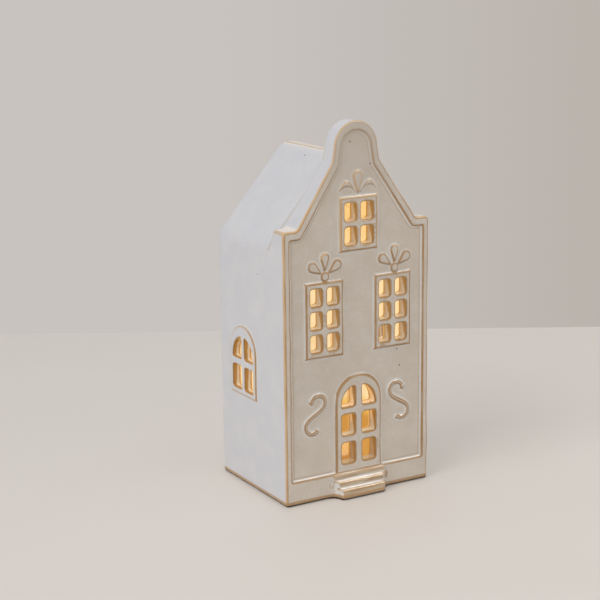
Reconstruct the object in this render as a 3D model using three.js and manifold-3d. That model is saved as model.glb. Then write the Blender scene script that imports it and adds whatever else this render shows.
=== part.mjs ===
// Light-up christmas townhouse: a hollow glazed ceramic house with a battery light unit in its base.
// Millimetres, +Z up. The facade faces -Y. The origin is the middle of the footprint, on the table.

import * as THREE from 'three';
import { mergeVertices } from 'three/addons/utils/BufferGeometryUtils.js';
import Module from 'manifold-3d';

const wasm = await Module();
wasm.setup();

// House body
const houseWidth = 89;
const houseDepth = 72.1;
const eaveHeight = 136.5;
const ridgeHeight = 187;
const wallThickness = 4.2;
const floorThickness = 5;
const footWidth = 6;
const bodyCornerRadius = 2.5;
const eaveRadius = 9;
const ridgeRadius = 8.6;
const bottomEdgeRadius = 1.2;

// Stepped and rounded gable, which stands above the roof as a parapet
const shoulderHeight = 146.5;
const shoulderLength = 8.3;
const gableFootHeight = 179.5;
const archRadius = 12.9;
const archSpringHeight = 187.1;
const neckFlare = 1.25;
const gableLean = 0.9;
const parapetThickness = 10.7;
const parapetFilletRadius = 7;
const shoulderRadius = 2.2;
const valleyRadius = 3;
const facadeEdgeRadius = 1.2;

// Raised rim round the facade, and the panel sunk inside it
const rimWidth = 3.7;
const rimTopExtra = 1;
const plinthHeight = 13.25;
const panelRecess = 1.3;
const panelCove = 1.2;
const frameRelief = 1;
const reliefEdgeRadius = 0.2;
const reliefRoot = 0.6;

// Door
const doorCentre = 0.4;
const doorHalfWidth = 14.1;
const doorSpringHeight = 52;
const doorMuntin = 4.4;
const doorPaneWidth = 8.4;
const doorPaneHeight = 11.7;
const doorRail = 3.9;
const doorPaneBottom = 17.8;
const doorPaneRows = 3;

// Two main windows, either side of the middle
const mainWindowCentres = [-20.2, 21.9];
const mainWindowHalfWidth = 11.15;
const mainWindowBottom = 78.2;
const mainWindowHeight = 39.9;
const mainWindowMuntin = 3.1;
const mainWindowMargin = 2.7;
const mainWindowRail = 3.05;
const mainWindowRows = 3;

// Attic window
const atticWindowCentre = 0.9;
const atticWindowHalfWidth = 11.35;
const atticWindowBottom = 132.7;
const atticWindowHeight = 28.2;
const atticWindowMuntin = 2.6;
const atticWindowMargin = 2.7;
const atticWindowRail = 3;
const atticWindowRows = 2;

// Arched window in each side wall
const sideWindowSetback = 44.4;
const sideWindowHalfWidth = 13.9;
const sideWindowBottom = 50.7;
const sideWindowSpringHeight = 75;
const sideWindowRelief = 0.8;
const sideWindowMuntin = 3.1;
const sideWindowPaneWidth = 9.75;
const sideWindowPaneBottom = 53.4;
const sideWindowPaneHeight = 13.1;
const sideWindowRail = 4;
const sideWindowPaneRows = 2;

// Edges and hidden overlaps
const paneCornerRadius = 1.2;
const leastRadius = 0.3;
const joinDepth = 2;
const joinOverlap = 0.4;
const hairline = 0.05;
const stepPlanTolerance = 0.005;

// Front steps
const stepCount = 3;
const stepsHalfWidth = 14;
const stepsProjection = 6.6;
const stepRise = 3.7;
const stepRun = 2.4;
const stepBatter = 0.8;
const nosingRadius = 1.4;
const stepsFlareRadius = 4.5;
const stepsCornerRadius = 3;

// Relief ornament
const ornamentRelief = 0.9;
const sprayCentres = [-19.6, 23.2];
const ballRadius = 2.4;
const ballRise = 2.9;
const leafLength = 8.9;
const leafRadius = 2.45;
const leafTipRadius = 0.6;
const leafGap = 0.9;
const sideLeafReach = 7.3;
const sideLeafRise = 5.5;
const sideLeafRadius = 2.6;
const fleurCentre = 0.6;
const fleurLength = 11.4;
const fleurRadius = 2.9;
const fleurRise = 1.9;
const curlInner = 1.7;
const curlOuter = 11;
const curlRise = 5.6;
const curlTipRise = 1.2;
const curlThickness = 2.5;
const scrollHalfWidth = 1.15;
const scrollTopHalfWidth = 0.75;
const scrollRelief = 0.95;
const scrollUpperRadius = 4.2;
const scrollLowerRadius = 4.2;
const scrollUpperAngles = [8, 238];
const scrollLowerAngles = [58, -132];
const scrollUpperCentre = new THREE.Vector2(24.3, 53.8);
const scrollLowerCentre = new THREE.Vector2(28, 41.7);

// Coin cells, which set the size of the light unit
const cellDiameter = 20;
const cellThickness = 3.2;
const cellCount = 2;
const cellRimRadius = 0.5;
const cellCapRadius = 8.5;

// Light unit
const tableClearance = 0.9;
const flangeThickness = 3.2;
const flangeOverlap = 3.2;
const flangeChamfer = 1.2;
const pocketOffset = 7;
const pocketWall = 1.2;
const pocketRim = 0.6;
const housingWall = 1.6;
const housingTopThickness = 1.6;
const housingEdgeRadius = 1.5;
const ledCollarRadius = 5;
const ledCollarHeight = 1.4;
const gripRingDepth = 1.6;
const gripRingFinDepth = 0.8;
const gripRingFinCount = 3;
const gripRingFinTipShare = 0.2;
const retainingLipHeight = 1.2;
const batteryDoorThickness = 1.8;
const batteryDoorRim = 1.4;
const batteryDoorEarRadius = 3.2;
const boardThickness = 1;
const boardEdgeGap = 0.6;
const contactHeight = 2.8;
const contactThickness = 0.3;
const contactWidth = 4;
const contactBendHeight = 1.9;
const contactTipLength = 2;
const contactTipRise = 0.6;
const switchLength = 8.6;
const switchWidth = 3.8;
const switchHeight = 3.6;
const switchOffset = 13.2;
const switchTravel = 2;
const switchPinPitch = 2.5;
const knobLength = 2.6;
const knobWidth = 2.2;
const knobShieldThickness = 0.8;
const knobRecess = 0.4;
const knobEngagement = 1.4;
const knobGrooveCount = 3;
const knobGrooveWidth = 0.3;
const knobGroovePitch = 0.75;
const switchDishDepth = 1.1;

// LED and resistor
const ledRadius = 2.5;
const ledHeight = 8.6;
const ledFlangeRadius = 2.9;
const ledFlangeHeight = 1;
const ledStandoff = 1.2;
const leadPitch = 2.54;
const leadWidth = 0.5;
const leadStub = 1;
const resistorRadius = 0.9;
const resistorLength = 3.6;
const resistorPitch = 6.4;
const resistorOffset = 7.5;
const resistorCapLength = 0.7;
const resistorWaist = 0.15;

// Screws
const screwRadius = 0.9;
const screwHeadRadius = 1.8;
const screwHeadHeight = 1;
const screwHeadBevel = 0.3;
const screwTipRadius = 0.3;
const screwCrossLength = 2.2;
const screwCrossWidth = 0.55;
const screwCrossDepth = 0.6;
const screwBossWall = 1.3;
const screwBossOverlap = 0.4;
const housingScrewLength = 7;
const doorScrewLength = 6;
const boardScrewLength = 3;
const housingScrewAngles = [20, 160, 235, 305];
const boardScrewX = 12;
const boardScrewY = -3;

// Clearances
const seatGap = 0.3;
const stackGap = 0.1;

// Places that follow from the sizes above
const frontY = (stepsProjection - houseDepth) / 2;
const backY = frontY + houseDepth;
const unitY = frontY + houseDepth / 2;
const panelY = frontY + panelRecess;
const roofPitch = Math.atan2(ridgeHeight - eaveHeight, houseWidth / 2);

const pocketRadius = cellDiameter / 2 + seatGap;
const pocketOuterRadius = pocketRadius + pocketWall;
const housingInnerRadius = pocketOffset + pocketOuterRadius + seatGap;
const housingRadius = housingInnerRadius + housingWall;
const gripRingInner = housingRadius + seatGap;
const gripRingOuter = gripRingInner + gripRingDepth;
const lipRadius = gripRingInner + gripRingDepth - gripRingFinDepth;
const floorHoleRadius = gripRingOuter + seatGap;
const flangeRadius = floorHoleRadius + flangeOverlap;

const unitBottom = tableClearance;
const flangeTop = unitBottom + flangeThickness;
const footHeight = flangeTop + seatGap;
const floorTop = footHeight + floorThickness;
const batteryDoorTop = unitBottom + batteryDoorThickness;
const cellBottom = batteryDoorTop + stackGap;
const cellTop = cellBottom + cellCount * cellThickness + (cellCount - 1) * stackGap;
const boardBottom = cellTop + contactHeight;
const boardTop = boardBottom + boardThickness;
const ledBottom = boardTop + ledStandoff;
const housingBottom = flangeTop + seatGap;
const housingTopUnderside = ledBottom + ledFlangeHeight + seatGap;
const housingTop = housingTopUnderside + housingTopThickness;
const screwHoleRadius = screwRadius + seatGap;
const screwBossRadius = screwHoleRadius + screwBossWall;
const screwCircleRadius = housingInnerRadius - screwBossRadius + screwBossOverlap;
const screwHeadHole = screwHeadRadius + seatGap;
const doorScrewY = pocketOffset - pocketOuterRadius - screwBossRadius + screwBossOverlap;

// Manifold helpers
function toSolid(geometry) {
  const bare = geometry.clone();
  bare.deleteAttribute('normal');
  bare.deleteAttribute('uv');
  const merged = mergeVertices(bare, 1e-4);
  const index = merged.index.array;
  const triangles = [];
  for (let i = 0; i < index.length; i += 3) {
    const [a, b, c] = [index[i], index[i + 1], index[i + 2]];
    if (a !== b && b !== c && c !== a) triangles.push(a, b, c);
  }
  const mesh = new wasm.Mesh({
    numProp: 3,
    vertProperties: new Float32Array(merged.attributes.position.array),
    triVerts: new Uint32Array(triangles),
  });
  return new wasm.Manifold(mesh);
}

function toGeometry(solid) {
  const { vertProperties, triVerts } = solid.getMesh();
  const geometry = new THREE.BufferGeometry();
  geometry.setAttribute('position', new THREE.BufferAttribute(new Float32Array(vertProperties), 3));
  geometry.setIndex(new THREE.BufferAttribute(new Uint32Array(triVerts), 1));
  geometry.computeVertexNormals();
  return geometry;
}

function join(...solids) {
  return solids.reduce((whole, solid) => whole.add(solid));
}

function cut(solid, ...tools) {
  return tools.reduce((left, tool) => left.subtract(tool), solid);
}

// Outlines. Each is a closed list of points in a plane.
function arc(x, y, radius, fromDegrees, toDegrees, steps) {
  return Array.from({ length: steps + 1 }, (_, i) => {
    const angle = THREE.MathUtils.degToRad(fromDegrees + ((toDegrees - fromDegrees) * i) / steps);
    return new THREE.Vector2(x + radius * Math.cos(angle), y + radius * Math.sin(angle));
  });
}

// Corners are [x, y, radius]. A radius is held to what its two edges have room for.
function roundedOutline(corners, steps = 3) {
  const points = [];
  corners.forEach(([x, y, radius = 0], i) => {
    const corner = new THREE.Vector2(x, y);
    const before = corners[(i + corners.length - 1) % corners.length];
    const after = corners[(i + 1) % corners.length];
    const back = new THREE.Vector2(before[0], before[1]).sub(corner);
    const ahead = new THREE.Vector2(after[0], after[1]).sub(corner);
    const room = 0.45 * Math.min(back.length(), ahead.length());
    back.normalize();
    ahead.normalize();
    const halfAngle = Math.acos(THREE.MathUtils.clamp(back.dot(ahead), -1, 1)) / 2;
    const reach = Math.min(radius / Math.tan(halfAngle), room);
    if (reach < 0.01) {
      points.push(corner);
      return;
    }
    const start = corner.clone().addScaledVector(back, reach);
    const end = corner.clone().addScaledVector(ahead, reach);
    const held = reach * Math.tan(halfAngle);
    const centre = corner.clone().addScaledVector(back.add(ahead).normalize(), held / Math.sin(halfAngle));
    const from = start.sub(centre).angle();
    let turn = end.sub(centre).angle() - from;
    if (turn > Math.PI) turn -= 2 * Math.PI;
    if (turn < -Math.PI) turn += 2 * Math.PI;
    for (let k = 0; k <= steps; k += 1) {
      const angle = from + (turn * k) / steps;
      points.push(new THREE.Vector2(Math.cos(angle), Math.sin(angle)).multiplyScalar(held).add(centre));
    }
  });
  return points;
}

function rectangle(x0, y0, x1, y1, radius = 0, steps = 3) {
  return roundedOutline([[x0, y0, radius], [x1, y0, radius], [x1, y1, radius], [x0, y1, radius]], steps);
}

function archOutline(x, halfWidth, bottom, spring, steps = 16) {
  const top = arc(x, spring, halfWidth, 0, 180, steps);
  return [new THREE.Vector2(x - halfWidth, bottom), new THREE.Vector2(x + halfWidth, bottom), ...top];
}

// Two circles on the Y axis and the tangents that join them: a leaf, a drop or a battery door
function taperedOutline(bigY, bigRadius, smallY, smallRadius, steps = 10) {
  const lean = THREE.MathUtils.radToDeg(Math.asin((bigRadius - smallRadius) / Math.abs(bigY - smallY)));
  if (bigY > smallY) {
    return [
      ...arc(0, bigY, bigRadius, -lean, 180 + lean, steps),
      ...arc(0, smallY, smallRadius, 180 + lean, 360 - lean, 4),
    ];
  }
  return [
    ...arc(0, bigY, bigRadius, 180 - lean, 360 + lean, steps),
    ...arc(0, smallY, smallRadius, lean, 180 - lean, 4),
  ];
}

function moved(points, x, y, degrees = 0) {
  const angle = THREE.MathUtils.degToRad(degrees);
  return points.map((p) => p.clone().rotateAround(new THREE.Vector2(), angle).add(new THREE.Vector2(x, y)));
}

// Solids
function extrusion(points, depth, edgeRadius = 0) {
  return new THREE.ExtrudeGeometry(new THREE.Shape(points), {
    depth: depth - 2 * edgeRadius,
    bevelEnabled: edgeRadius > 0,
    bevelSize: edgeRadius,
    bevelOffset: -edgeRadius,
    bevelThickness: edgeRadius,
    bevelSegments: 1,
    steps: 1,
  }).translate(0, 0, edgeRadius);
}

// The outline stands in the facade's plane, X and Z, and runs back from y0 to y1
function frontPrism(points, y0, y1, edgeRadius) {
  return toSolid(extrusion(points, y1 - y0, edgeRadius).rotateX(Math.PI / 2).translate(0, y1, 0));
}

// Outlines in the facade's plane, one for each [y, inset] from front to back, joined by a skin
function loft(outlineAt, layers) {
  const rings = layers.map(([, inset]) => outlineAt(inset));
  const count = rings[0].length;
  const positions = rings.flatMap((ring, k) => ring.flatMap((p) => [p.x, layers[k][0], p.y]));
  const index = [];
  for (let k = 0; k < rings.length - 1; k += 1) {
    for (let i = 0; i < count; i += 1) {
      const j = (i + 1) % count;
      const [a, b] = [k * count + i, k * count + j];
      index.push(a, a + count, b, b, a + count, b + count);
    }
  }
  const last = (rings.length - 1) * count;
  for (const [a, b, c] of THREE.ShapeUtils.triangulateShape(rings[0], [])) index.push(a, b, c);
  for (const [a, b, c] of THREE.ShapeUtils.triangulateShape(rings[rings.length - 1], [])) {
    index.push(last + c, last + b, last + a);
  }
  const geometry = new THREE.BufferGeometry();
  geometry.setAttribute('position', new THREE.BufferAttribute(new Float32Array(positions), 3));
  geometry.setIndex(index);
  return toSolid(geometry);
}

// Layers of a rounded edge that ends at y, on the front face or, with facing 1, on the back face
function roundedEdge(y, radius, facing, steps = 3) {
  const layers = Array.from({ length: steps + 1 }, (_, i) => {
    const angle = (Math.PI / 2) * (i / steps);
    return [y - facing * radius * (1 - Math.cos(angle)), radius * (1 - Math.sin(angle))];
  });
  return facing > 0 ? layers.reverse() : layers;
}

// Layers of a hollow corner between a wall that stands at an inset and the floor that it meets at y
function hollowCorner(y, radius, inset, steps = 3) {
  return Array.from({ length: steps + 1 }, (_, i) => {
    const angle = (Math.PI / 2) * (i / steps);
    return [y - radius * (1 - Math.sin(angle)), inset + radius * (1 - Math.cos(angle))];
  });
}

// The outline stands in a side wall's plane, Y and Z, and runs from x0 to x1
function sidePrism(points, x0, x1, edgeRadius) {
  const turn = new THREE.Matrix4().makeBasis(
    new THREE.Vector3(0, 1, 0), new THREE.Vector3(0, 0, 1), new THREE.Vector3(1, 0, 0));
  return toSolid(extrusion(points, x1 - x0, edgeRadius).applyMatrix4(turn).translate(x0, 0, 0));
}

// The outline lies flat, X and Y, and rises from z0 to z1
function upright(points, z0, z1, edgeRadius) {
  return toSolid(extrusion(points, z1 - z0, edgeRadius).translate(0, 0, z0));
}

function rod(x, y, radius, z0, z1, sides = 16) {
  const height = z1 - z0;
  const cylinder = new THREE.CylinderGeometry(radius, radius, height, sides).rotateX(Math.PI / 2);
  return toSolid(cylinder.translate(x, y, z0 + height / 2));
}

function block(x0, x1, y0, y1, z0, z1) {
  const box = new THREE.BoxGeometry(x1 - x0, y1 - y0, z1 - z0);
  return toSolid(box.translate((x0 + x1) / 2, (y0 + y1) / 2, (z0 + z1) / 2));
}

// The profile is [radius, height] from the bottom of the outside up, then round to where it began
function revolved(profile, sides = 40) {
  const points = profile.map(([radius, height]) => new THREE.Vector2(radius, height));
  return toSolid(new THREE.LatheGeometry(points, sides).rotateX(Math.PI / 2));
}

function closedProfile(profile) {
  return [...profile, profile[0]];
}

// A corner's radius once its outline is drawn in by an inset
function convexRadius(radius, inset) {
  return Math.max(radius - inset, leastRadius);
}

// Facade outline, drawn in from the edge by an inset. Its upper part can be lowered by a drop.
function facadeOutline(inset, bottom = inset, drop = 0) {
  const edge = houseWidth / 2 - inset;
  const shoulder = shoulderHeight - inset;
  const arch = archRadius - inset;
  const shoulderX = houseWidth / 2 - shoulderLength;
  const slope = Math.atan2(gableFootHeight - shoulderHeight, shoulderX - archRadius - neckFlare);
  const neck = Math.atan2(neckFlare, archSpringHeight - gableFootHeight);
  const slopeX = (z) => shoulderX - (z - shoulderHeight) / Math.tan(slope) - inset / Math.sin(slope);
  const lowering = inset / Math.sin(slope) - inset / Math.cos(neck);
  const footZ = gableFootHeight - lowering / (1 / Math.tan(slope) - Math.tan(neck));
  const mirrored = (points) => points.map(([x, z, radius]) => [-x, z, radius]).reverse();
  const lower = [
    [edge, bottom, convexRadius(bottomEdgeRadius, inset)],
    [edge, shoulder - drop, convexRadius(shoulderRadius, inset)],
    [slopeX(shoulder), shoulder - drop, valleyRadius],
  ];
  const gable = [[slopeX(footZ), footZ, valleyRadius], [arch, archSpringHeight]];
  const crown = arc(0, archSpringHeight, arch, 0, 180, 18).slice(1, -1).map((p) => [p.x, p.y]);
  const upper = [...gable, ...crown, ...mirrored(gable)].map(
    ([x, z, radius]) => [x - gableLean, z - drop, radius]);
  return roundedOutline([...lower, ...upper, ...mirrored(lower)]);
}

// House body behind the facade, drawn in by an inset
function bodyOutline(inset, bottom = inset) {
  const edge = houseWidth / 2 - inset;
  const ridge = ridgeHeight - inset / Math.cos(roofPitch);
  const eave = ridge - edge * Math.tan(roofPitch);
  const bottomRadius = convexRadius(bottomEdgeRadius, inset);
  const eaveInset = convexRadius(eaveRadius, inset);
  return roundedOutline([
    [-edge, bottom, bottomRadius],
    [edge, bottom, bottomRadius],
    [edge, eave, eaveInset],
    [0, ridge, convexRadius(ridgeRadius, inset)],
    [-edge, eave, eaveInset],
  ]);
}

// Soft cove between the parapet's back and the roof
function parapetCove(parapetY) {
  const radius = parapetFilletRadius;
  const end = parapetY + radius;
  return loft((inset) => bodyOutline(inset, eaveHeight / 2), [
    [parapetY - joinDepth, -radius],
    ...arc(end, -radius, radius, 180, 90, 5).map((p) => [p.x, p.y]),
    [end + joinDepth, joinOverlap],
  ]);
}

// Window panes as cutters' outlines
function paneColumns(muntin, width) {
  return [[-muntin / 2 - width, -muntin / 2], [muntin / 2, muntin / 2 + width]];
}

function rectangularPanes(centre, halfWidth, bottom, height, { muntin, margin, rail, rows }) {
  const width = halfWidth - margin - muntin / 2;
  const paneHeight = (height - (rows + 1) * rail) / rows;
  const outlines = [];
  for (const [x0, x1] of paneColumns(muntin, width)) {
    for (let row = 0; row < rows; row += 1) {
      const z = bottom + rail + row * (paneHeight + rail);
      outlines.push(rectangle(centre + x0, z, centre + x1, z + paneHeight, paneCornerRadius, 2));
    }
  }
  return outlines;
}

// Rows of rectangles below a pair of quarter arches
function archedPanes(centre, bottom, { muntin, width, height, rail, rows }) {
  const radius = muntin / 2 + width;
  const outlines = [];
  for (const side of [-1, 1]) {
    for (let row = 0; row < rows; row += 1) {
      const z = bottom + row * (height + rail);
      const near = muntin / 2;
      if (row < rows - 1) {
        const [x0, x1] = [side * near, side * radius].sort((a, b) => a - b);
        outlines.push(rectangle(centre + x0, z, centre + x1, z + height, paneCornerRadius, 2));
      } else {
        const start = THREE.MathUtils.radToDeg(Math.acos(near / radius));
        const spring = z + paneCornerRadius;
        const curve = arc(0, spring, radius, 0, start, 6).map((p) => [p.x, p.y]);
        curve[curve.length - 1].push(paneCornerRadius);
        const corners = [[near, z, paneCornerRadius], [radius, z, paneCornerRadius], ...curve];
        const quarter = roundedOutline(corners, 2);
        const points = quarter.map((p) => new THREE.Vector2(centre + side * p.x, p.y));
        outlines.push(side > 0 ? points : points.reverse());
      }
    }
  }
  return outlines;
}

// Raised ornament on the facade
function raised(points, edgeRadius = reliefEdgeRadius) {
  return frontPrism(points, panelY - ornamentRelief, panelY + reliefRoot, edgeRadius);
}

function leafSpray(x, z) {
  const ballZ = z + ballRise;
  const leafFoot = ballZ + ballRadius + leafGap + leafTipRadius;
  const middle = taperedOutline(leafFoot + leafLength - leafRadius - leafTipRadius, leafRadius,
    leafFoot, leafTipRadius);
  const sideLength = Math.hypot(sideLeafReach, sideLeafRise);
  const lean = THREE.MathUtils.radToDeg(Math.atan2(sideLeafReach, sideLeafRise));
  const sideFoot = ballRadius + leafGap + leafTipRadius;
  const sideLeaf = taperedOutline(sideLength, sideLeafRadius, sideFoot, leafTipRadius, 8);
  return join(
    raised(arc(x, ballZ, ballRadius, 0, 345, 15)),
    raised(moved(middle, x, 0)),
    raised(moved(sideLeaf, x, ballZ, -lean)),
    raised(moved(sideLeaf, x, ballZ, lean)),
  );
}

// Crescent that springs from beside the fleur, rises and turns down to its tip
function curl(centre, side, z) {
  const span = curlOuter - curlInner;
  const crown = (rise) => [
    new THREE.Vector2(curlInner, z),
    new THREE.Vector2(curlInner + span / 4, z + 0.7 * rise),
    new THREE.Vector2(curlInner + span / 2, z + rise),
    new THREE.Vector2(curlInner + (3 * span) / 4, z + 0.85 * rise + 0.15 * curlTipRise),
    new THREE.Vector2(curlOuter, z + curlTipRise),
  ];
  const outer = new THREE.SplineCurve(crown(curlRise)).getPoints(10);
  const inner = new THREE.SplineCurve(crown(curlRise - curlThickness)).getPoints(8);
  const points = [...outer, ...inner.reverse().slice(1, -1)];
  return raised(points.map((p) => new THREE.Vector2(centre + side * p.x, p.y)), 0);
}

function fleur(x, z) {
  const foot = z + fleurRise + leafTipRadius;
  const middle = foot + fleurLength - fleurRadius - leafTipRadius;
  const drop = taperedOutline(middle, fleurRadius, foot, leafTipRadius);
  return join(raised(moved(drop, x, 0)), curl(x, 1, foot), curl(x, -1, foot));
}

// Section of a scroll's stroke in its own frame: X stands out of the panel, and the top is flat
function scrollSection() {
  const top = [scrollRelief, scrollTopHalfWidth];
  const right = [top, [0, scrollHalfWidth], [-top[0], top[1]]];
  const left = right.map(([x, y]) => [x, -y]).reverse();
  return [...right, ...left].map(([x, y]) => new THREE.Vector2(x, y));
}

// S scroll beside the door: two hooks and the stroke that joins them
function scroll(side) {
  const upper = arc(scrollUpperCentre.x, scrollUpperCentre.y, scrollUpperRadius, ...scrollUpperAngles, 8);
  const lower = arc(scrollLowerCentre.x, scrollLowerCentre.y, scrollLowerRadius, ...scrollLowerAngles, 7);
  const path = new THREE.CatmullRomCurve3(
    [...upper, ...lower].map((p) => new THREE.Vector3(side * p.x, panelY, p.y)));
  const section = new THREE.Shape(scrollSection());
  const stroke = new THREE.ExtrudeGeometry(section, { steps: 22, bevelEnabled: false, extrudePath: path });
  const height = scrollRelief + joinOverlap;
  const end = new THREE.CylinderGeometry(scrollHalfWidth, scrollTopHalfWidth, height, 16);
  end.translate(0, joinOverlap - height / 2, 0);
  const ends = [path.getPoint(0), path.getPoint(1)].map(
    (p) => toSolid(end.clone().translate(p.x, p.y, p.z)));
  return join(toSolid(stroke), ...ends);
}

// Plan of one step, as far out as its front. Its sides flare to the plinth and its corners are round.
function stepPlan(front) {
  const root = frontY + hairline;
  const back = root + houseDepth / 2;
  const edge = stepsHalfWidth + stepsFlareRadius;
  const left = [
    [-houseWidth / 2, back],
    [-houseWidth / 2, root],
    ...arc(-edge, root - stepsFlareRadius, stepsFlareRadius, 90, 0, 6).map((p) => [p.x, p.y]),
    [-stepsHalfWidth, front - stepsFlareRadius],
  ];
  const right = left.map(([x, y]) => [-x, y]).reverse();
  const kept = wasm.CrossSection.square([houseWidth, back - front]).translate([-houseWidth / 2, front]);
  const flared = new wasm.CrossSection([[...left, ...right]]).intersect(kept);
  const radius = Math.min(stepsCornerRadius, (frontY - front) / 2);
  const rounded = flared.offset(-radius, 'Round', 2, 32).offset(radius, 'Round', 2, 32);
  return rounded.simplify(stepPlanTolerance).toPolygons()[0].map(([x, y]) => new THREE.Vector2(x, y));
}

function frontSteps() {
  const back = frontY + panelRecess + joinDepth;
  const stepsReach = stepsHalfWidth + stepsFlareRadius;
  const slabs = [];
  for (let i = 0; i < stepCount; i += 1) {
    const foot = i === 0;
    const top = plinthHeight - (stepCount - 1 - i) * stepRise;
    const bottom = foot ? 0 : top - stepRise - joinDepth;
    const nosing = frontY - stepsProjection + stepBatter + i * stepRun;
    const front = foot ? nosing - stepBatter : nosing;
    const profile = roundedOutline([
      [front, bottom, foot ? bottomEdgeRadius / 2 : 0],
      [back, bottom],
      [back, top],
      [nosing, top, nosingRadius],
    ]);
    const plan = upright(stepPlan(front), -plinthHeight, 2 * plinthHeight);
    slabs.push(sidePrism(profile, -stepsReach, stepsReach).intersect(plan));
  }
  return join(...slabs);
}

function ceramicHouse() {
  const parapetY = frontY + parapetThickness;
  const facade = loft(facadeOutline, [
    ...roundedEdge(frontY, facadeEdgeRadius, -1), ...roundedEdge(parapetY, facadeEdgeRadius, 1)]);
  const bodyFront = frontY + facadeEdgeRadius;
  const body = loft(bodyOutline, [[bodyFront, 0], ...roundedEdge(backY, bodyCornerRadius, 1)]);
  const behindFacade = frontPrism(facadeOutline(0), bodyFront, backY);
  const cove = parapetCove(parapetY).intersect(behindFacade);
  const panel = loft((inset) => facadeOutline(inset, plinthHeight + inset - rimWidth, rimTopExtra), [
    [frontY - panelRecess, rimWidth], ...hollowCorner(panelY, panelCove, rimWidth)]);

  const frameY = panelY - frameRelief;
  const framed = (points) => frontPrism(points, frameY, panelY + reliefRoot, reliefEdgeRadius);
  const mainBoxes = mainWindowCentres.map((x) => rectangle(
    x - mainWindowHalfWidth, mainWindowBottom, x + mainWindowHalfWidth, mainWindowBottom + mainWindowHeight));
  const atticBox = rectangle(atticWindowCentre - atticWindowHalfWidth, atticWindowBottom,
    atticWindowCentre + atticWindowHalfWidth, atticWindowBottom + atticWindowHeight);
  const doorArch = archOutline(doorCentre, doorHalfWidth, plinthHeight - reliefRoot, doorSpringHeight);
  const frames = join(...mainBoxes.map(framed), framed(atticBox), framed(doorArch));

  const sideWindowY = frontY + sideWindowSetback;
  const sideArch = archOutline(sideWindowY, sideWindowHalfWidth, sideWindowBottom, sideWindowSpringHeight);
  const outside = houseWidth / 2 + sideWindowRelief;
  const inside = houseWidth / 2 - reliefRoot;
  const sideFrames = join(
    sidePrism(sideArch, inside, outside, reliefEdgeRadius),
    sidePrism(sideArch, -outside, -inside, reliefEdgeRadius),
  );

  const ornament = join(
    ...sprayCentres.map((x) => leafSpray(x, mainWindowBottom + mainWindowHeight)),
    fleur(fleurCentre, atticWindowBottom + atticWindowHeight),
    scroll(-1),
    scroll(1),
  );

  const innerFrontY = panelY + wallThickness;
  const cavity = frontPrism(bodyOutline(wallThickness, floorTop), innerFrontY, backY - wallThickness);
  const footRecess = upright(
    rectangle(footWidth - houseWidth / 2, frontY + footWidth, houseWidth / 2 - footWidth, backY - footWidth,
      bodyCornerRadius),
    -footHeight, footHeight);
  const floorHole = rod(0, unitY, floorHoleRadius, 0, floorTop + floorThickness, 48);

  const throughFront = (points) => frontPrism(points, frontY - panelRecess, innerFrontY + panelRecess);
  const mainStyle = {
    muntin: mainWindowMuntin, margin: mainWindowMargin, rail: mainWindowRail, rows: mainWindowRows };
  const atticStyle = {
    muntin: atticWindowMuntin, margin: atticWindowMargin, rail: atticWindowRail, rows: atticWindowRows };
  const doorStyle = {
    muntin: doorMuntin, width: doorPaneWidth, height: doorPaneHeight, rail: doorRail, rows: doorPaneRows };
  const sideStyle = {
    muntin: sideWindowMuntin, width: sideWindowPaneWidth, height: sideWindowPaneHeight,
    rail: sideWindowRail, rows: sideWindowPaneRows };
  const frontPanes = [
    ...mainWindowCentres.flatMap((x) => rectangularPanes(
      x, mainWindowHalfWidth, mainWindowBottom, mainWindowHeight, mainStyle)),
    ...rectangularPanes(
      atticWindowCentre, atticWindowHalfWidth, atticWindowBottom, atticWindowHeight, atticStyle),
    ...archedPanes(doorCentre, doorPaneBottom, doorStyle),
  ].map(throughFront);
  const sidePanes = archedPanes(sideWindowY, sideWindowPaneBottom, sideStyle).map(
    (points) => sidePrism(points, -houseWidth, houseWidth));

  const outer = join(cut(join(facade, body, cove), panel), frames, sideFrames, ornament, frontSteps());
  return cut(outer, cavity, footRecess, floorHole, ...frontPanes, ...sidePanes);
}

// Light unit. Its pieces are drawn about the unit's own upright axis.
function polar(radius, degrees) {
  const angle = THREE.MathUtils.degToRad(degrees);
  return [radius * Math.cos(angle), radius * Math.sin(angle)];
}

const housingScrewPlaces = housingScrewAngles.map((angle) => polar(screwCircleRadius, angle));
const boardScrewPlaces = [[-boardScrewX, boardScrewY], [boardScrewX, boardScrewY]];

// Silicone ring with fins that grip the hole in the house's floor
function gripRing() {
  const bottom = footHeight + stackGap;
  const pitch = (floorThickness - 2 * stackGap) / gripRingFinCount;
  const tipStart = (pitch * (1 - gripRingFinTipShare)) / 2;
  const root = gripRingOuter - gripRingFinDepth;
  const profile = [[gripRingInner, bottom]];
  for (let i = 0; i < gripRingFinCount; i += 1) {
    const z = bottom + i * pitch;
    profile.push([root, z], [gripRingOuter, z + tipStart], [gripRingOuter, z + pitch - tipStart]);
  }
  const top = bottom + gripRingFinCount * pitch;
  profile.push([root, top], [gripRingInner, top]);
  return revolved(closedProfile(profile));
}

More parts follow.
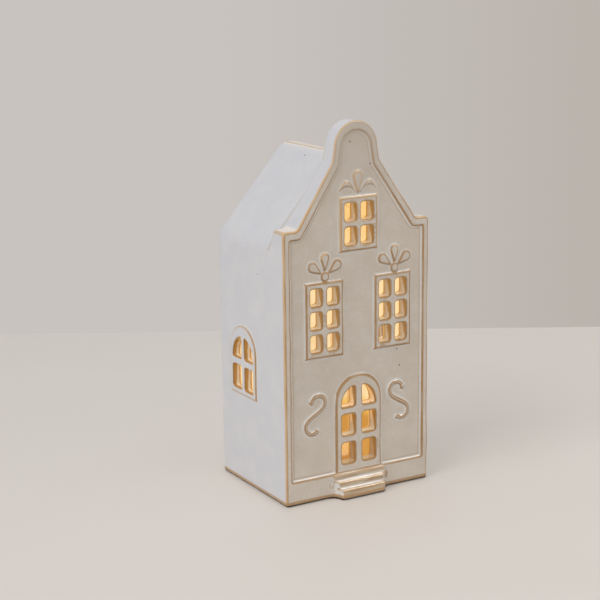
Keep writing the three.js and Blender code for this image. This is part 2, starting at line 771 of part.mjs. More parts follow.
function unitHousing() {
  const lipBottom = floorTop + seatGap;
  const collarTop = housingTop + ledCollarHeight;
  const ledHole = ledRadius + seatGap;
  const r = housingEdgeRadius;
  const edge = arc(housingRadius - r, housingTop - r, r, 0, 90, 3).map((p) => [p.x, p.y]);
  const shell = revolved(closedProfile([
    [housingInnerRadius, housingBottom],
    [housingRadius, housingBottom],
    [housingRadius, lipBottom],
    [lipRadius, lipBottom],
    [lipRadius, lipBottom + retainingLipHeight / 2],
    [housingRadius, lipBottom + retainingLipHeight],
    ...edge,
    [ledCollarRadius, housingTop],
    [ledHole + housingWall, collarTop],
    [ledHole, collarTop],
    [ledHole, housingTopUnderside],
    [housingInnerRadius, housingTopUnderside],
  ]));
  const bosses = housingScrewPlaces.map(([x, y]) => rod(
    x, y, screwBossRadius, housingBottom, housingTopUnderside + joinOverlap));
  const posts = boardScrewPlaces.map(([x, y]) => rod(
    x, y, screwBossRadius, boardTop + stackGap, housingTopUnderside + joinOverlap));
  const bossHoles = housingScrewPlaces.map(([x, y]) => rod(
    x, y, screwHoleRadius, 0, flangeTop + housingScrewLength, 12));
  const postHoles = boardScrewPlaces.map(([x, y]) => rod(
    x, y, screwHoleRadius, 0, boardTop + boardScrewLength, 12));
  const bore = rod(0, 0, housingRadius, 0, housingTop, 40);
  return cut(join(shell, join(...bosses, ...posts).intersect(bore)), ...bossHoles, ...postHoles);
}

function batteryDoorOutline(extra) {
  return taperedOutline(
    pocketOffset, pocketRadius + batteryDoorRim + extra, doorScrewY, batteryDoorEarRadius + extra, 24);
}

function unitBase() {
  const plate = revolved([
    [0, unitBottom],
    [flangeRadius - flangeChamfer, unitBottom],
    [flangeRadius, unitBottom + flangeChamfer],
    [flangeRadius, flangeTop],
    [0, flangeTop],
  ], 48);
  const pocket = rod(0, pocketOffset, pocketOuterRadius, flangeTop - joinOverlap, cellTop + pocketRim, 40);
  const screwBoss = rod(0, doorScrewY, screwBossRadius, flangeTop - joinOverlap, cellTop);
  const doorRecess = upright(batteryDoorOutline(seatGap), 0, batteryDoorTop + seatGap);
  const pocketBore = rod(0, pocketOffset, pocketRadius, 0, boardBottom, 40);
  const doorScrewHole = rod(0, doorScrewY, screwHoleRadius, 0, batteryDoorTop + doorScrewLength, 12);
  const windowHalf = contactWidth / 2 + seatGap;
  const contactWindow = block(
    -housingInnerRadius, 0, pocketOffset - windowHalf, pocketOffset + windowHalf, flangeTop, boardBottom);
  const screwHoles = housingScrewPlaces.flatMap(([x, y]) => [
    rod(x, y, screwHoleRadius, 0, boardBottom, 12),
    rod(x, y, screwHeadHole, 0, unitBottom + screwHeadHeight + seatGap),
  ]);
  const y = -switchOffset;
  const slotHalf = (knobLength + switchTravel) / 2 + seatGap;
  const slotSide = knobWidth / 2 + seatGap;
  const slot = upright(rectangle(-slotHalf, y - slotSide, slotHalf, y + slotSide, seatGap), 0, boardBottom);
  const dishHalf = slotHalf + knobWidth;
  const dishOutline = rectangle(-dishHalf, y - knobWidth, dishHalf, y + knobWidth, knobWidth, 4);
  const dish = upright(dishOutline, 0, unitBottom + switchDishDepth);
  return cut(join(plate, pocket, screwBoss), doorRecess, pocketBore, doorScrewHole, contactWindow, slot, dish,
    ...screwHoles);
}

function crossRecess(x, y, z) {
  const [long, wide, deep] = [screwCrossLength / 2, screwCrossWidth / 2, screwCrossDepth];
  return join(
    block(x - long, x + long, y - wide, y + wide, z - deep, z + deep),
    block(x - wide, x + wide, y - long, y + long, z - deep, z + deep),
  );
}

// Pan-head screw, head down, with the underside of its head at seatZ
function screw(x, y, seatZ, length) {
  const top = seatZ + length;
  const shape = revolved([
    [0, seatZ - screwHeadHeight],
    [screwHeadRadius - screwHeadBevel, seatZ - screwHeadHeight],
    [screwHeadRadius, seatZ - screwHeadHeight + screwHeadBevel],
    [screwHeadRadius, seatZ],
    [screwRadius, seatZ],
    [screwRadius, top - screwRadius],
    [screwTipRadius, top],
    [0, top],
  ], 16);
  const placed = shape.translate([x, y, 0]);
  return placed.subtract(crossRecess(x, y, seatZ - screwHeadHeight));
}

function batteryDoor() {
  const plate = upright(batteryDoorOutline(0), unitBottom, batteryDoorTop, stackGap);
  const headSeat = unitBottom + screwHeadHeight + stackGap;
  return cut(
    plate,
    rod(0, doorScrewY, screwHoleRadius, 0, flangeTop, 12),
    rod(0, doorScrewY, screwHeadHole, 0, headSeat),
  );
}

function coinCell(level) {
  const bottom = cellBottom + level * (cellThickness + stackGap);
  const top = bottom + cellThickness;
  const radius = cellDiameter / 2;
  return revolved([
    [0, bottom],
    [radius - cellRimRadius, bottom],
    [radius, bottom + cellRimRadius],
    [radius, top - cellRimRadius],
    [radius - cellRimRadius, top - cellRimRadius / 2],
    [cellCapRadius, top - cellRimRadius / 2],
    [cellCapRadius - cellRimRadius, top],
    [0, top],
  ], 32).translate([0, pocketOffset, 0]);
}

function circuitBoard() {
  const disc = rod(0, 0, housingInnerRadius - boardEdgeGap, boardBottom, boardTop, 40);
  const notches = housingScrewPlaces.map(([x, y]) => rod(x, y, screwBossRadius + seatGap, 0, housingTop));
  const screwHoles = boardScrewPlaces.map(([x, y]) => rod(x, y, screwHoleRadius, 0, housingTop, 12));
  const leadHole = leadWidth + seatGap;
  const leadHoles = [
    ...[-1, 1].map((side) => [(side * leadPitch) / 2, 0]),
    ...[-1, 1].map((side) => [(side * resistorPitch) / 2, -resistorOffset]),
    ...[-1, 0, 1].map((i) => [i * switchPinPitch, -switchOffset]),
  ].map(([x, y]) => rod(x, y, leadHole, 0, housingTop, 8));
  return cut(disc, ...notches, ...screwHoles, ...leadHoles);
}

function switchBody() {
  const top = boardBottom - stackGap;
  const bottom = top - switchHeight;
  const y = -switchOffset;
  const canHalf = switchLength / 2;
  const can = block(-canHalf, canHalf, y - switchWidth / 2, y + switchWidth / 2, bottom, top);
  const slotHalf = (knobLength + switchTravel) / 2 + seatGap;
  const slot = block(
    -slotHalf, slotHalf, y - knobWidth / 2 - seatGap, y + knobWidth / 2 + seatGap,
    bottom - seatGap, bottom + knobEngagement + seatGap);
  const pins = [-1, 0, 1].map((i) => rod(
    i * switchPinPitch, y, leadWidth / 2, top - leadStub, boardTop + leadStub, 8));
  return join(cut(can, slot), ...pins);
}

function switchKnob() {
  const switchBottom = boardBottom - stackGap - switchHeight;
  const x = -switchTravel / 2;
  const y = -switchOffset;
  const bottom = unitBottom + knobRecess;
  const shieldBottom = flangeTop + seatGap;
  const half = knobLength / 2;
  const shank = block(x - half, x + half, y - knobWidth / 2, y + knobWidth / 2, bottom,
    switchBottom + knobEngagement);
  const reach = half + switchTravel;
  const shield = block(x - reach, x + reach, y - knobWidth, y + knobWidth, shieldBottom,
    shieldBottom + knobShieldThickness);
  const grooves = Array.from({ length: knobGrooveCount }, (_, i) => {
    const middle = x + (i - (knobGrooveCount - 1) / 2) * knobGroovePitch;
    return block(middle - knobGrooveWidth / 2, middle + knobGrooveWidth / 2, y - knobWidth, y + knobWidth,
      bottom - knobRecess, bottom + knobRecess);
  });
  return cut(join(shank, shield), ...grooves);
}

function led() {
  const domeCentre = ledBottom + ledHeight - ledRadius;
  const lens = arc(0, domeCentre, ledRadius, 0, 90, 5).map((p) => [Math.max(p.x, 0), p.y]);
  lens[lens.length - 1][0] = 0;
  return revolved([
    [0, ledBottom],
    [ledFlangeRadius, ledBottom],
    [ledFlangeRadius, ledBottom + ledFlangeHeight],
    [ledRadius, ledBottom + ledFlangeHeight],
    ...lens,
  ], 24);
}

function ledLead(side) {
  const x = (side * leadPitch) / 2;
  const half = leadWidth / 2;
  return block(x - half, x + half, -half, half, boardBottom - leadStub, ledBottom - stackGap);
}

function resistor() {
  const z = boardTop + resistorRadius + stackGap;
  const y = -resistorOffset;
  const half = resistorLength / 2;
  const waist = resistorRadius - resistorWaist;
  const capEnd = half - resistorCapLength;
  const waistEnd = capEnd - resistorWaist;
  const body = new THREE.LatheGeometry([
    [0, -half], [resistorRadius, -half], [resistorRadius, -capEnd], [waist, -waistEnd],
    [waist, waistEnd], [resistorRadius, capEnd], [resistorRadius, half], [0, half],
  ].map(([r, h]) => new THREE.Vector2(r, h)), 12).rotateZ(Math.PI / 2).translate(0, y, z);
  const wire = leadWidth / 2;
  const pitch = resistorPitch / 2;
  const across = block(-pitch - wire, pitch + wire, y - wire, y + wire, z - wire, z + wire);
  const legEnd = boardBottom - leadStub;
  const legs = [-pitch, pitch].map((x) => block(x - wire, x + wire, y - wire, y + wire, legEnd, z));
  return join(toSolid(body), across, ...legs);
}

// Sheet strip of one thickness that follows a bent line, drawn in the X and Z plane
function bentStrip(line, width) {
  const half = contactThickness / 2;
  const offset = (sign) => line.map((point, i) => {
    const before = line[Math.max(i - 1, 0)];
    const after = line[Math.min(i + 1, line.length - 1)];
    const a = new THREE.Vector2().subVectors(point, before);
    const b = new THREE.Vector2().subVectors(after, point);
    if (a.lengthSq() === 0) a.copy(b);
    if (b.lengthSq() === 0) b.copy(a);
    const normal = new THREE.Vector2(-a.y, a.x).normalize().add(new THREE.Vector2(-b.y, b.x).normalize());
    const mitre = 2 / normal.lengthSq();
    return point.clone().addScaledVector(normal, sign * half * mitre);
  });
  return frontPrism([...offset(1), ...offset(-1).reverse()], -width / 2, width / 2);
}

// Positive contact: hangs from the board beside the pocket, and its finger bears on the lower cell
function positiveContact() {
  const half = contactThickness / 2;
  const top = boardBottom - stackGap - half;
  const cellEdge = -cellDiameter / 2 - stackGap - half;
  const outside = -pocketOuterRadius - seatGap - half;
  const middle = cellBottom + cellThickness / 2;
  const line = [
    [outside + contactWidth / 2, top],
    [outside, top],
    [outside, flangeTop + cellThickness],
    [cellEdge, flangeTop + contactBendHeight],
    [cellEdge - half, Math.max(middle, flangeTop + seatGap + half)],
  ].map(([x, z]) => new THREE.Vector2(x, z));
  return bentStrip(line, contactWidth).translate([0, pocketOffset, 0]);
}

// Negative contact: a leaf under the board whose finger bears on the upper cell
function negativeContact() {
  const half = contactThickness / 2;
  const top = boardBottom - stackGap - half;
  const low = cellTop + stackGap + half;
  const reach = pocketRadius / 2;
  const line = [
    [-reach, top],
    [0, top],
    [reach - contactTipLength / 2, low],
    [reach + contactTipLength / 2, low + contactTipRise],
  ].map(([x, z]) => new THREE.Vector2(x, z));
  return bentStrip(line, contactWidth).translate([0, pocketOffset, 0]);
}

// Materials
function finish(name, color, roughness, metalness = 0) {
  return new THREE.MeshStandardMaterial({ name, color, roughness, metalness });
}

const glaze = finish('glaze', 0xc6bfb5, 0.22);
const whitePlastic = finish('white_plastic', 0xe9e7e1, 0.45);
const blackPlastic = finish('black_plastic', 0x26272a, 0.5);
const silicone = finish('silicone', 0xd9d8d2, 0.6);
const steel = finish('steel', 0xb9bbbd, 0.3, 1);
const nickel = finish('nickel', 0xc9c4b8, 0.25, 1);
const board = finish('board', 0x2f6b45, 0.5);
const lens = finish('led_lens', 0xffe2ae, 0.1);
const resistorBody = finish('resistor_body', 0xcdb58a, 0.5);

function piece(name, solid, material) {
  const mesh = new THREE.Mesh(toGeometry(solid), material);
  mesh.name = name;
  return mesh;
}

const doorScrewSeat = unitBottom + screwHeadHeight;
const townhouse = new THREE.Group();
townhouse.add(piece('ceramic_house', ceramicHouse(), glaze));

const lightUnit = new THREE.Group();
lightUnit.position.set(0, unitY, 0);
lightUnit.add(
  piece('grip_ring', gripRing(), silicone),
  piece('unit_housing', unitHousing(), whitePlastic),
  piece('unit_base', unitBase(), whitePlastic),
  piece('battery_door', batteryDoor(), whitePlastic),
  piece('door_screw', screw(0, doorScrewY, doorScrewSeat, doorScrewLength), steel),
  piece('circuit_board', circuitBoard(), board),
  piece('switch_body', switchBody(), steel),
  piece('switch_knob', switchKnob(), blackPlastic),
  piece('led', led(), lens),
  piece('led_lead_1', ledLead(-1), nickel),
  piece('led_lead_2', ledLead(1), nickel),
  piece('resistor', resistor(), resistorBody),
  piece('positive_contact', positiveContact(), nickel),
  piece('negative_contact', negativeContact(), nickel),
);
for (let i = 0; i < cellCount; i += 1) {
  lightUnit.add(piece(`battery_${i + 1}`, coinCell(i), steel));
}
housingScrewPlaces.forEach(([x, y], i) => {
  lightUnit.add(piece(`housing_screw_${i + 1}`, screw(x, y, doorScrewSeat, housingScrewLength), steel));
});
boardScrewPlaces.forEach(([x, y], i) => {
  const seat = boardBottom - stackGap;
  lightUnit.add(piece(`board_screw_${i + 1}`, screw(x, y, seat, boardScrewLength), steel));
});
townhouse.add(lightUnit);

export default townhouse;
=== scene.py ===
"""Light-up christmas townhouse: a glazed ceramic house with a battery light unit in its base.

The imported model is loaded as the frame. The house is made again from its solid with a fine, softened
skin that carries the marks of its glaze, and the pieces of the light unit get their finishes.
"""

import logging
import math
from dataclasses import dataclass, field
from enum import Enum

import bmesh
import bpy
import numpy as np
from mathutils import Euler, Matrix, Vector
from mathutils.kdtree import KDTree


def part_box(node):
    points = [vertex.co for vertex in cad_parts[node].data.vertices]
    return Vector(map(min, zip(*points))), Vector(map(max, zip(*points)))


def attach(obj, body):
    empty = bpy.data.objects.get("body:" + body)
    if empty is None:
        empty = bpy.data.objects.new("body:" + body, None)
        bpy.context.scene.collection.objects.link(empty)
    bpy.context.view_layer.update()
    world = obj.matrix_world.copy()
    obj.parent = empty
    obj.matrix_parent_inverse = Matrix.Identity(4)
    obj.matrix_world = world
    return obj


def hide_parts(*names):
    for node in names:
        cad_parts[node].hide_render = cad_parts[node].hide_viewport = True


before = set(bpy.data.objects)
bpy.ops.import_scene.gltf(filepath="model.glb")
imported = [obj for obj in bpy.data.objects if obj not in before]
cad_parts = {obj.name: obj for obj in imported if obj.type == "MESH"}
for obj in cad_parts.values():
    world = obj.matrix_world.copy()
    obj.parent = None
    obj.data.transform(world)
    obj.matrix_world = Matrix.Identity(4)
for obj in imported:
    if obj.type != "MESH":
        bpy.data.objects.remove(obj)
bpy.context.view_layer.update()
LOG = logging.getLogger("townhouse")
Colour = tuple[float, float, float, float]
Span = tuple[float, float]
Socket = bpy.types.NodeSocket


def srgb(*shown: int) -> Colour:
    """Turns red, green and blue as a screen shows them, 0 to 255, into a linear colour."""
    shares = (value / 255 for value in shown)
    return *(v / 12.92 if v <= 0.04045 else ((v + 0.055) / 1.055) ** 2.4 for v in shares), 1.0


def darker(colour: Colour, share: float) -> Colour:
    """Gives a colour at a share of its brightness."""
    return tuple(channel * share for channel in colour[:3]) + (1.0,)


class Nodes:
    """Adds nodes to a tree and links them."""

    prefix = "ShaderNode"

    def __init__(self, tree: bpy.types.NodeTree) -> None:
        """Takes the tree.

        Args:
            tree: The tree to build in.
        """
        self.tree = tree

    def node(self, kind: str, settings: dict | None = None, **inputs: object) -> bpy.types.Node:
        """Adds a node.

        Args:
            kind: The node's type, with or without its prefix.
            settings: Properties of the node itself.
            **inputs: Values or sockets for its inputs, by name with spaces as underscores, or by
                the letter i and the input's number.

        Returns:
            The new node.
        """
        made = self.tree.nodes.new(kind if "Node" in kind else self.prefix + kind)
        for key, value in (settings or {}).items():
            setattr(made, key, value)
        for key, value in inputs.items():
            numbered = key[0] == "i" and key[1:].isdigit()
            socket = made.inputs[int(key[1:]) if numbered else key.replace("_", " ")]
            if isinstance(value, Socket):
                self.tree.links.new(value, socket)
            else:
                socket.default_value = value
        return made

    def math(self, kind: str, first: object, second: object = 0.0, third: object = 0.0) -> Socket:
        """Gives the result of one operation on up to three values or sockets."""
        return self.node("ShaderNodeMath", {"operation": kind}, i0=first, i1=second, i2=third).outputs[0]

    def times(self, first: object, second: object) -> Socket:
        """Gives the product of two values."""
        return self.math("MULTIPLY", first, second)

    def larger(self, first: object, second: object) -> Socket:
        """Gives the larger of two values."""
        return self.math("MAXIMUM", first, second)

    def mix(self, share: object, first: object, second: object) -> Socket:
        """Mixes two colours, with a share of the second."""
        return self.node("ShaderNodeMix", {"data_type": "RGBA"}, i0=share, i6=first, i7=second).outputs[2]


class Recipe(Nodes):
    """Builds the nodes of one material."""

    def __init__(self, name: str) -> None:
        """Starts an empty material.

        Args:
            name: The material's name.
        """
        self.material = bpy.data.materials.new(name)
        self.material.use_nodes = True
        super().__init__(self.material.node_tree)
        self.tree.nodes.clear()
        self.coords = None

    def place(self) -> Socket:
        """Gives the object coordinates."""
        if self.coords is None:
            self.coords = self.node("TexCoord").outputs["Object"]
        return self.coords

    def height(self) -> Socket:
        """Gives the height above the table in metres."""
        return self.node("SeparateXYZ", Vector=self.place()).outputs["Z"]

    def attribute(self, name: str) -> Socket:
        """Gives a stored attribute as a number."""
        return self.node("Attribute", {"attribute_name": name}).outputs["Fac"]

    def noise(self, scale: float, detail: float = 2.0, roughness: float = 0.5) -> Socket:
        """Gives noise in the object's own space, its scale in cycles to the metre."""
        made = self.node("TexNoise", Vector=self.place(), Scale=scale, Detail=detail, Roughness=roughness)
        return made.outputs["Fac"]

    def ramp(self, value: object, low: float, high: float, least: float = 0.0,
             most: float = 1.0) -> Socket:
        """Maps a value softly from low to high onto least to most."""
        made = self.node("MapRange", {"interpolation_type": "SMOOTHSTEP"}, Value=value,
                         From_Min=low, From_Max=high, To_Min=least, To_Max=most)
        return made.outputs["Result"]

    def layered(self, ground: object, *layers: tuple[object, object]) -> object:
        """Lays colours over a ground.

        Args:
            ground: The lowest colour.
            *layers: The share and the colour of each layer, from the lowest up.

        Returns:
            The colour that shows.
        """
        for share, colour in layers:
            ground = self.mix(share, ground, colour)
        return ground

    def streaks(self, stretch: tuple[float, float, float], scale: float) -> Socket:
        """Gives noise that is drawn out or squeezed along the axes."""
        stretched = self.node("Mapping", Vector=self.place(), Scale=stretch).outputs["Vector"]
        return self.node("TexNoise", Vector=stretched, Scale=scale, Detail=3.0).outputs["Fac"]

    def bump(self, height: object, strength: float, distance: float,
             normal: Socket | None = None) -> Socket:
        """Turns a height into a normal, where a height of 1 stands for the distance in metres."""
        under = {} if normal is None else {"Normal": normal}
        made = self.node("Bump", Height=height, Strength=strength, Distance=distance, **under)
        return made.outputs["Normal"]

    def surface(self, **inputs: object) -> bpy.types.Material:
        """Adds the shader and the output.

        Args:
            **inputs: The shader's inputs, named as for node().

        Returns:
            The finished material.
        """
        shader = self.node("BsdfPrincipled", **inputs)
        self.node("OutputMaterial", Surface=shader.outputs["BSDF"])
        return self.material


@dataclass(frozen=True)
class Glaze:
    """Off-white glaze over tan stoneware: it thins to the clay on edges and pools in hollows.

    The skin carries, in millimetres, how far each point is from the nearest outward edge (ridge) and from
    the nearest hollow corner (pool), and how deep in the wall it lies (depth). It also carries, 0 to 1, how
    much it faces forwards (front), the brushed faces of the steps (tread), their flanks (flank), the level
    tops of roof and parapet, where a highlight is painted (crest), the outer corners (corner), the sunk
    panel (panel), the edges with the boldest lines (bold) and how far down in its pane a point is (drop).

    Some of its colours are painted light and shade: the front's tint in part, the highlight on the level
    tops, a line of shade along the rim's cove, a contact shadow along the foot, light and shade in the
    panes' reveals, and the glow of the inner walls.
    """

    # The sides' cool white and the front's warmer, darker tint are partly the glaze's own tone and partly
    # painted shade, the front standing less in the light than the sides; low_front makes the front lighter
    # towards the bottom.
    side: Colour = srgb(199, 198, 200)
    front: Colour = srgb(196, 184, 169)
    low_front: Colour = srgb(212, 200, 185)
    pool: Colour = srgb(216, 212, 204)
    clay: Colour = srgb(158, 118, 66)
    gold: Colour = srgb(196, 158, 106)
    side_line: Colour = srgb(188, 162, 128)
    step: Colour = srgb(190, 171, 143)
    brushed: Colour = srgb(144, 104, 56)
    crest_highlight: Colour = srgb(236, 222, 204)
    foot: Colour = srgb(168, 130, 82)
    # Painted contact shadow along the foot.
    contact_shadow: Colour = srgb(44, 36, 30)
    speck: Colour = srgb(92, 60, 40)
    # Colours of the panes' reveals: mouth is the brown line at their edge; amber, reveal and throat paint
    # light and shade in them: dark amber shade, the pale reveal in daylight, the golden throat in warm light.
    amber: Colour = srgb(158, 116, 60)
    mouth: Colour = srgb(134, 100, 58)
    reveal: Colour = srgb(202, 190, 172)
    throat: Colour = srgb(140, 100, 50)
    glow_amber: Colour = srgb(255, 190, 96)
    glow_pale: Colour = srgb(255, 224, 190)
    glow_throat: Colour = srgb(255, 180, 74)
    glow_low: Colour = srgb(206, 146, 66)
    glow_middle: Colour = srgb(243, 191, 94)
    glow_high: Colour = srgb(254, 224, 170)
    glow_top: Colour = srgb(250, 206, 134)
    glow_streak: Colour = srgb(216, 146, 66)
    # Near-black base of the inner walls: what shows there is their painted glow.
    inner: Colour = (0.03, 0.018, 0.008, 1.0)
    roughness: Span = (0.13, 0.42)
    refraction: float = 1.58
    coat_roughness: float = 0.05
    milkiness: float = 0.1
    scattering: tuple[float, float, float] = (0.002, 0.0015, 0.001)
    wall: float = 4.2
    line_width: Span = (0.28, 0.74)
    broad_width: Span = (0.3, 1.5)
    halo_width: Span = (0.1, 1.8)
    cove_width: float = 1.95
    cove_shade_line: Span = (0.1, 0.6)
    mouth_band: Span = (0.04, 0.14)
    amber_band: Span = (0.4, 0.9)
    throat_band: Span = (2.9, 3.3)
    mouth_glow: float = 0.08
    pale_glow: float = 0.06
    throat_glow: float = 0.3
    wall_glow: float = 0.95
    sole_edge: Span = (0.0001, 0.0003)
    contact_shadow_band: Span = (0.001, 0.0015)
    foot_edge: Span = (0.0022, 0.0034)
    lower_front: Span = (0.012, 0.07)
    gable_shade: Span = (0.15, 0.19)
    low_reveals: Span = (0.028, 0.034)
    floor_light: Span = (0.02, 0.027)
    lamp_light: Span = (0.027, 0.035)
    attic_light: Span = (0.105, 0.14)
    lamp_bottom: Span = (0.036, 0.042)
    lamp_top: Span = (0.058, 0.066)
    lamp_side: Span = (0.03, 0.034)
    scattered_speck: Span = (0.01, 0.024)
    placed_speck: Span = (0.00028, 0.00062)
    specks: tuple[tuple[float, float, float], ...] = (
        (0.02684, -0.03145, 0.06685), (0.02506, -0.03145, 0.07616), (-0.00386, -0.03145, 0.1893),
        (0.0084, -0.03145, 0.1772), (-0.00769, 0.00749, 0.17828))

    def base(self, r: Recipe) -> tuple[Socket, Socket]:
        """Builds the outer glaze's colour.

        Args:
            r: The recipe to build in.

        Returns:
            The colour and how worn the glaze is, 0 to 1.
        """
        mottle = r.noise(85, 4, 0.62)
        cloud = r.noise(28, 3, 0.55)
        wander = r.math("MULTIPLY_ADD", r.noise(520, 3, 0.6), 0.3, -0.15)
        worn = self.worn(r, mottle, cloud, wander)
        facing, tread, height = r.attribute("front"), r.attribute("tread"), r.height()
        edge = r.mix(r.ramp(facing, 0.1, 0.5), self.side_line, self.clay)
        edge = r.mix(r.larger(r.attribute("corner"), tread), edge, self.gold)
        above_sole = r.ramp(height, *self.sole_edge)
        body = r.layered(
            self.ground(r, mottle, cloud),
            (r.ramp(r.math("ADD", r.attribute("pool"), wander), *self.halo_width, 0.85, 0.0), self.pool),
            # Painted shade: a fine clay-coloured line in the crease where the rim's cove meets the sunk
            # panel.
            (self.cove(r, wander), self.clay),
            (r.times(worn, 0.94), edge),
            (r.times(r.ramp(height, *self.gable_shade, 0.0, 0.52), facing), self.shade()),
            (r.ramp(height, *self.foot_edge, 0.9, 0.0), self.foot),
            # Painted contact shadow: near-black just above the table, kept off the underside.
            (r.times(r.ramp(height, *self.contact_shadow_band, 1.0, 0.0), above_sole), self.contact_shadow),
            (self.spots(r), self.speck))
        return self.reveals(r, body), r.times(worn, r.math("MULTIPLY_ADD", tread, -1.0, 1.0))

    def shade(self) -> Colour:
        """Gives the front's darker tint."""
        return darker(self.front, 0.88)

    def ground(self, r: Recipe, mottle: Socket, cloud: Socket) -> Socket:
        """Builds the glaze's colour away from its lines: tints, the front's partly painted shade among them,
        grain, clouds, a painted highlight on the level tops and the brushed steps.

        Args:
            r: The recipe to build in.
            mottle: Noise about a centimetre wide.
            cloud: Wider noise.

        Returns:
            The colour.
        """
        grain = r.noise(1300, 3, 0.7)
        facing = r.attribute("front")
        tread = r.attribute("tread")
        brushed = r.ramp(r.streaks((0.08, 1.0, 1.0), 900.0), 0.42, 0.68, 0.0, 0.8)
        forwards = r.mix(r.ramp(r.height(), *self.lower_front, 0.5, 0.0), self.front, self.low_front)
        return r.layered(
            self.side,
            # The front's tint: partly the glaze's tone, partly painted shade; lighter towards the bottom.
            (facing, forwards),
            (r.ramp(mottle, 0.38, 0.72, 0.0, 0.28), self.pool),
            (r.ramp(grain, 0.52, 0.68, 0.0, 0.3), self.pool),
            (r.times(r.ramp(grain, 0.34, 0.5, 0.35, 0.0), facing), self.shade()),
            (r.times(r.ramp(cloud, 0.45, 0.75, 0.0, 0.45), facing), self.shade()),
            # Painted highlight on the rounded ridge and the shoulders' level tops.
            (r.times(r.attribute("crest"), 0.7), self.crest_highlight),
            (r.times(r.attribute("flank"), 0.8), self.pool),
            (tread, self.step),
            (r.times(brushed, tread), self.brushed))

    def worn(self, r: Recipe, mottle: Socket, cloud: Socket, wander: Socket) -> Socket:
        """Tells where the glaze has drawn back from the edges, 0 to 1.

        Args:
            r: The recipe to build in.
            mottle: Noise that breaks the lines up.
            cloud: Noise that breaks the broad ones up.
            wander: How far lines stray, in millimetres.

        Returns:
            How worn the glaze is.
        """
        wider = r.math("MULTIPLY_ADD", r.attribute("bold"), -0.3, 1.0)
        line = r.math("MULTIPLY_ADD", r.attribute("ridge"), wider, wander)
        thin = r.times(r.ramp(line, *self.line_width, 1.0, 0.0), r.ramp(mottle, 0.2, 0.6, 0.7, 1.0))
        thin = r.times(thin, r.math("MULTIPLY_ADD", r.attribute("tread"), -0.6, 1.0))
        broad = r.times(r.ramp(line, *self.broad_width, 0.6, 0.0), r.attribute("corner"))
        return r.larger(thin, r.times(broad, r.ramp(cloud, 0.3, 0.65, 0.35, 1.0)))

    def cove(self, r: Recipe, wander: Socket) -> Socket:
        """Gives the fine line of painted shade where the rim's cove meets the sunk panel, 0 to 1.

        Args:
            r: The recipe to build in.
            wander: How far lines stray, in millimetres.

        Returns:
            The line's strength.
        """
        past = r.math("SUBTRACT", r.attribute("ridge"), self.cove_width)
        off = r.math("ABSOLUTE", r.math("ADD", past, wander))
        return r.times(r.ramp(off, *self.cove_shade_line, 0.4, 0.0), r.attribute("panel"))

    def spots(self, r: Recipe) -> Socket:
        """Gives the iron specks in the glaze, 0 to 1.

        Args:
            r: The recipe to build in.

        Returns:
            The specks: some scattered, and some at set places.
        """
        cell = r.node("TexVoronoi", Vector=r.place(), Scale=48.0, Randomness=1.0)
        dot = r.ramp(cell.outputs["Distance"], *self.scattered_speck, 1.0, 0.0)
        chosen = r.node("SeparateColor", Color=cell.outputs["Color"]).outputs[0]
        marks = r.times(dot, r.math("GREATER_THAN", chosen, 0.8))
        for place in self.specks:
            away = r.node("VectorMath", {"operation": "DISTANCE"}, i0=r.place(), i1=place).outputs["Value"]
            marks = r.larger(marks, r.ramp(away, *self.placed_speck, 0.85, 0.0))
        return marks

    def bands(self, r: Recipe) -> tuple[Socket, Socket, Socket]:
        """Divides the panes' reveals: amber at the mouth, painted shade, then a pale wedge of painted
        daylight that widens lower down, and a golden throat, the clay edge in painted warm light.

        Args:
            r: The recipe to build in.

        Returns:
            The shares of amber, painted daylight and throat, each laid over the one before.
        """
        depth = r.attribute("depth")
        strayed = r.math("ADD", depth, r.math("MULTIPLY_ADD", r.noise(300, 2), 1.0, -0.5))
        past = r.math("ADD", strayed, r.math("MULTIPLY_ADD", r.attribute("drop"), 1.5, -1.9))
        return r.ramp(depth, *self.mouth_band), r.ramp(past, 0.0, 0.5), r.ramp(strayed, *self.throat_band)

    def reveals(self, r: Recipe, body: Socket) -> Socket:
        """Colours the panes' reveals with painted light and shade: a dark amber band of shade, a pale wedge
        of daylight and a golden throat of warm light.

        Args:
            r: The recipe to build in.
            body: The outer glaze's colour.

        Returns:
            The colour with its reveals.
        """
        amber, pale, throat = self.bands(r)
        # Low in the house the pale wedge turns amber: painted shade.
        glazed = r.mix(r.ramp(r.height(), *self.low_reveals, 0.6, 0.0), self.reveal, self.amber)
        past_mouth = r.ramp(r.attribute("depth"), *self.amber_band)
        return r.layered(body, (amber, self.mouth), (past_mouth, self.amber), (pale, glazed),
                         (throat, self.throat))

    def inside(self, r: Recipe) -> Socket:
        """Tells the inner walls, 1, from the rest, 0."""
        return r.ramp(r.attribute("depth"), self.wall - 0.6, self.wall - 0.25)

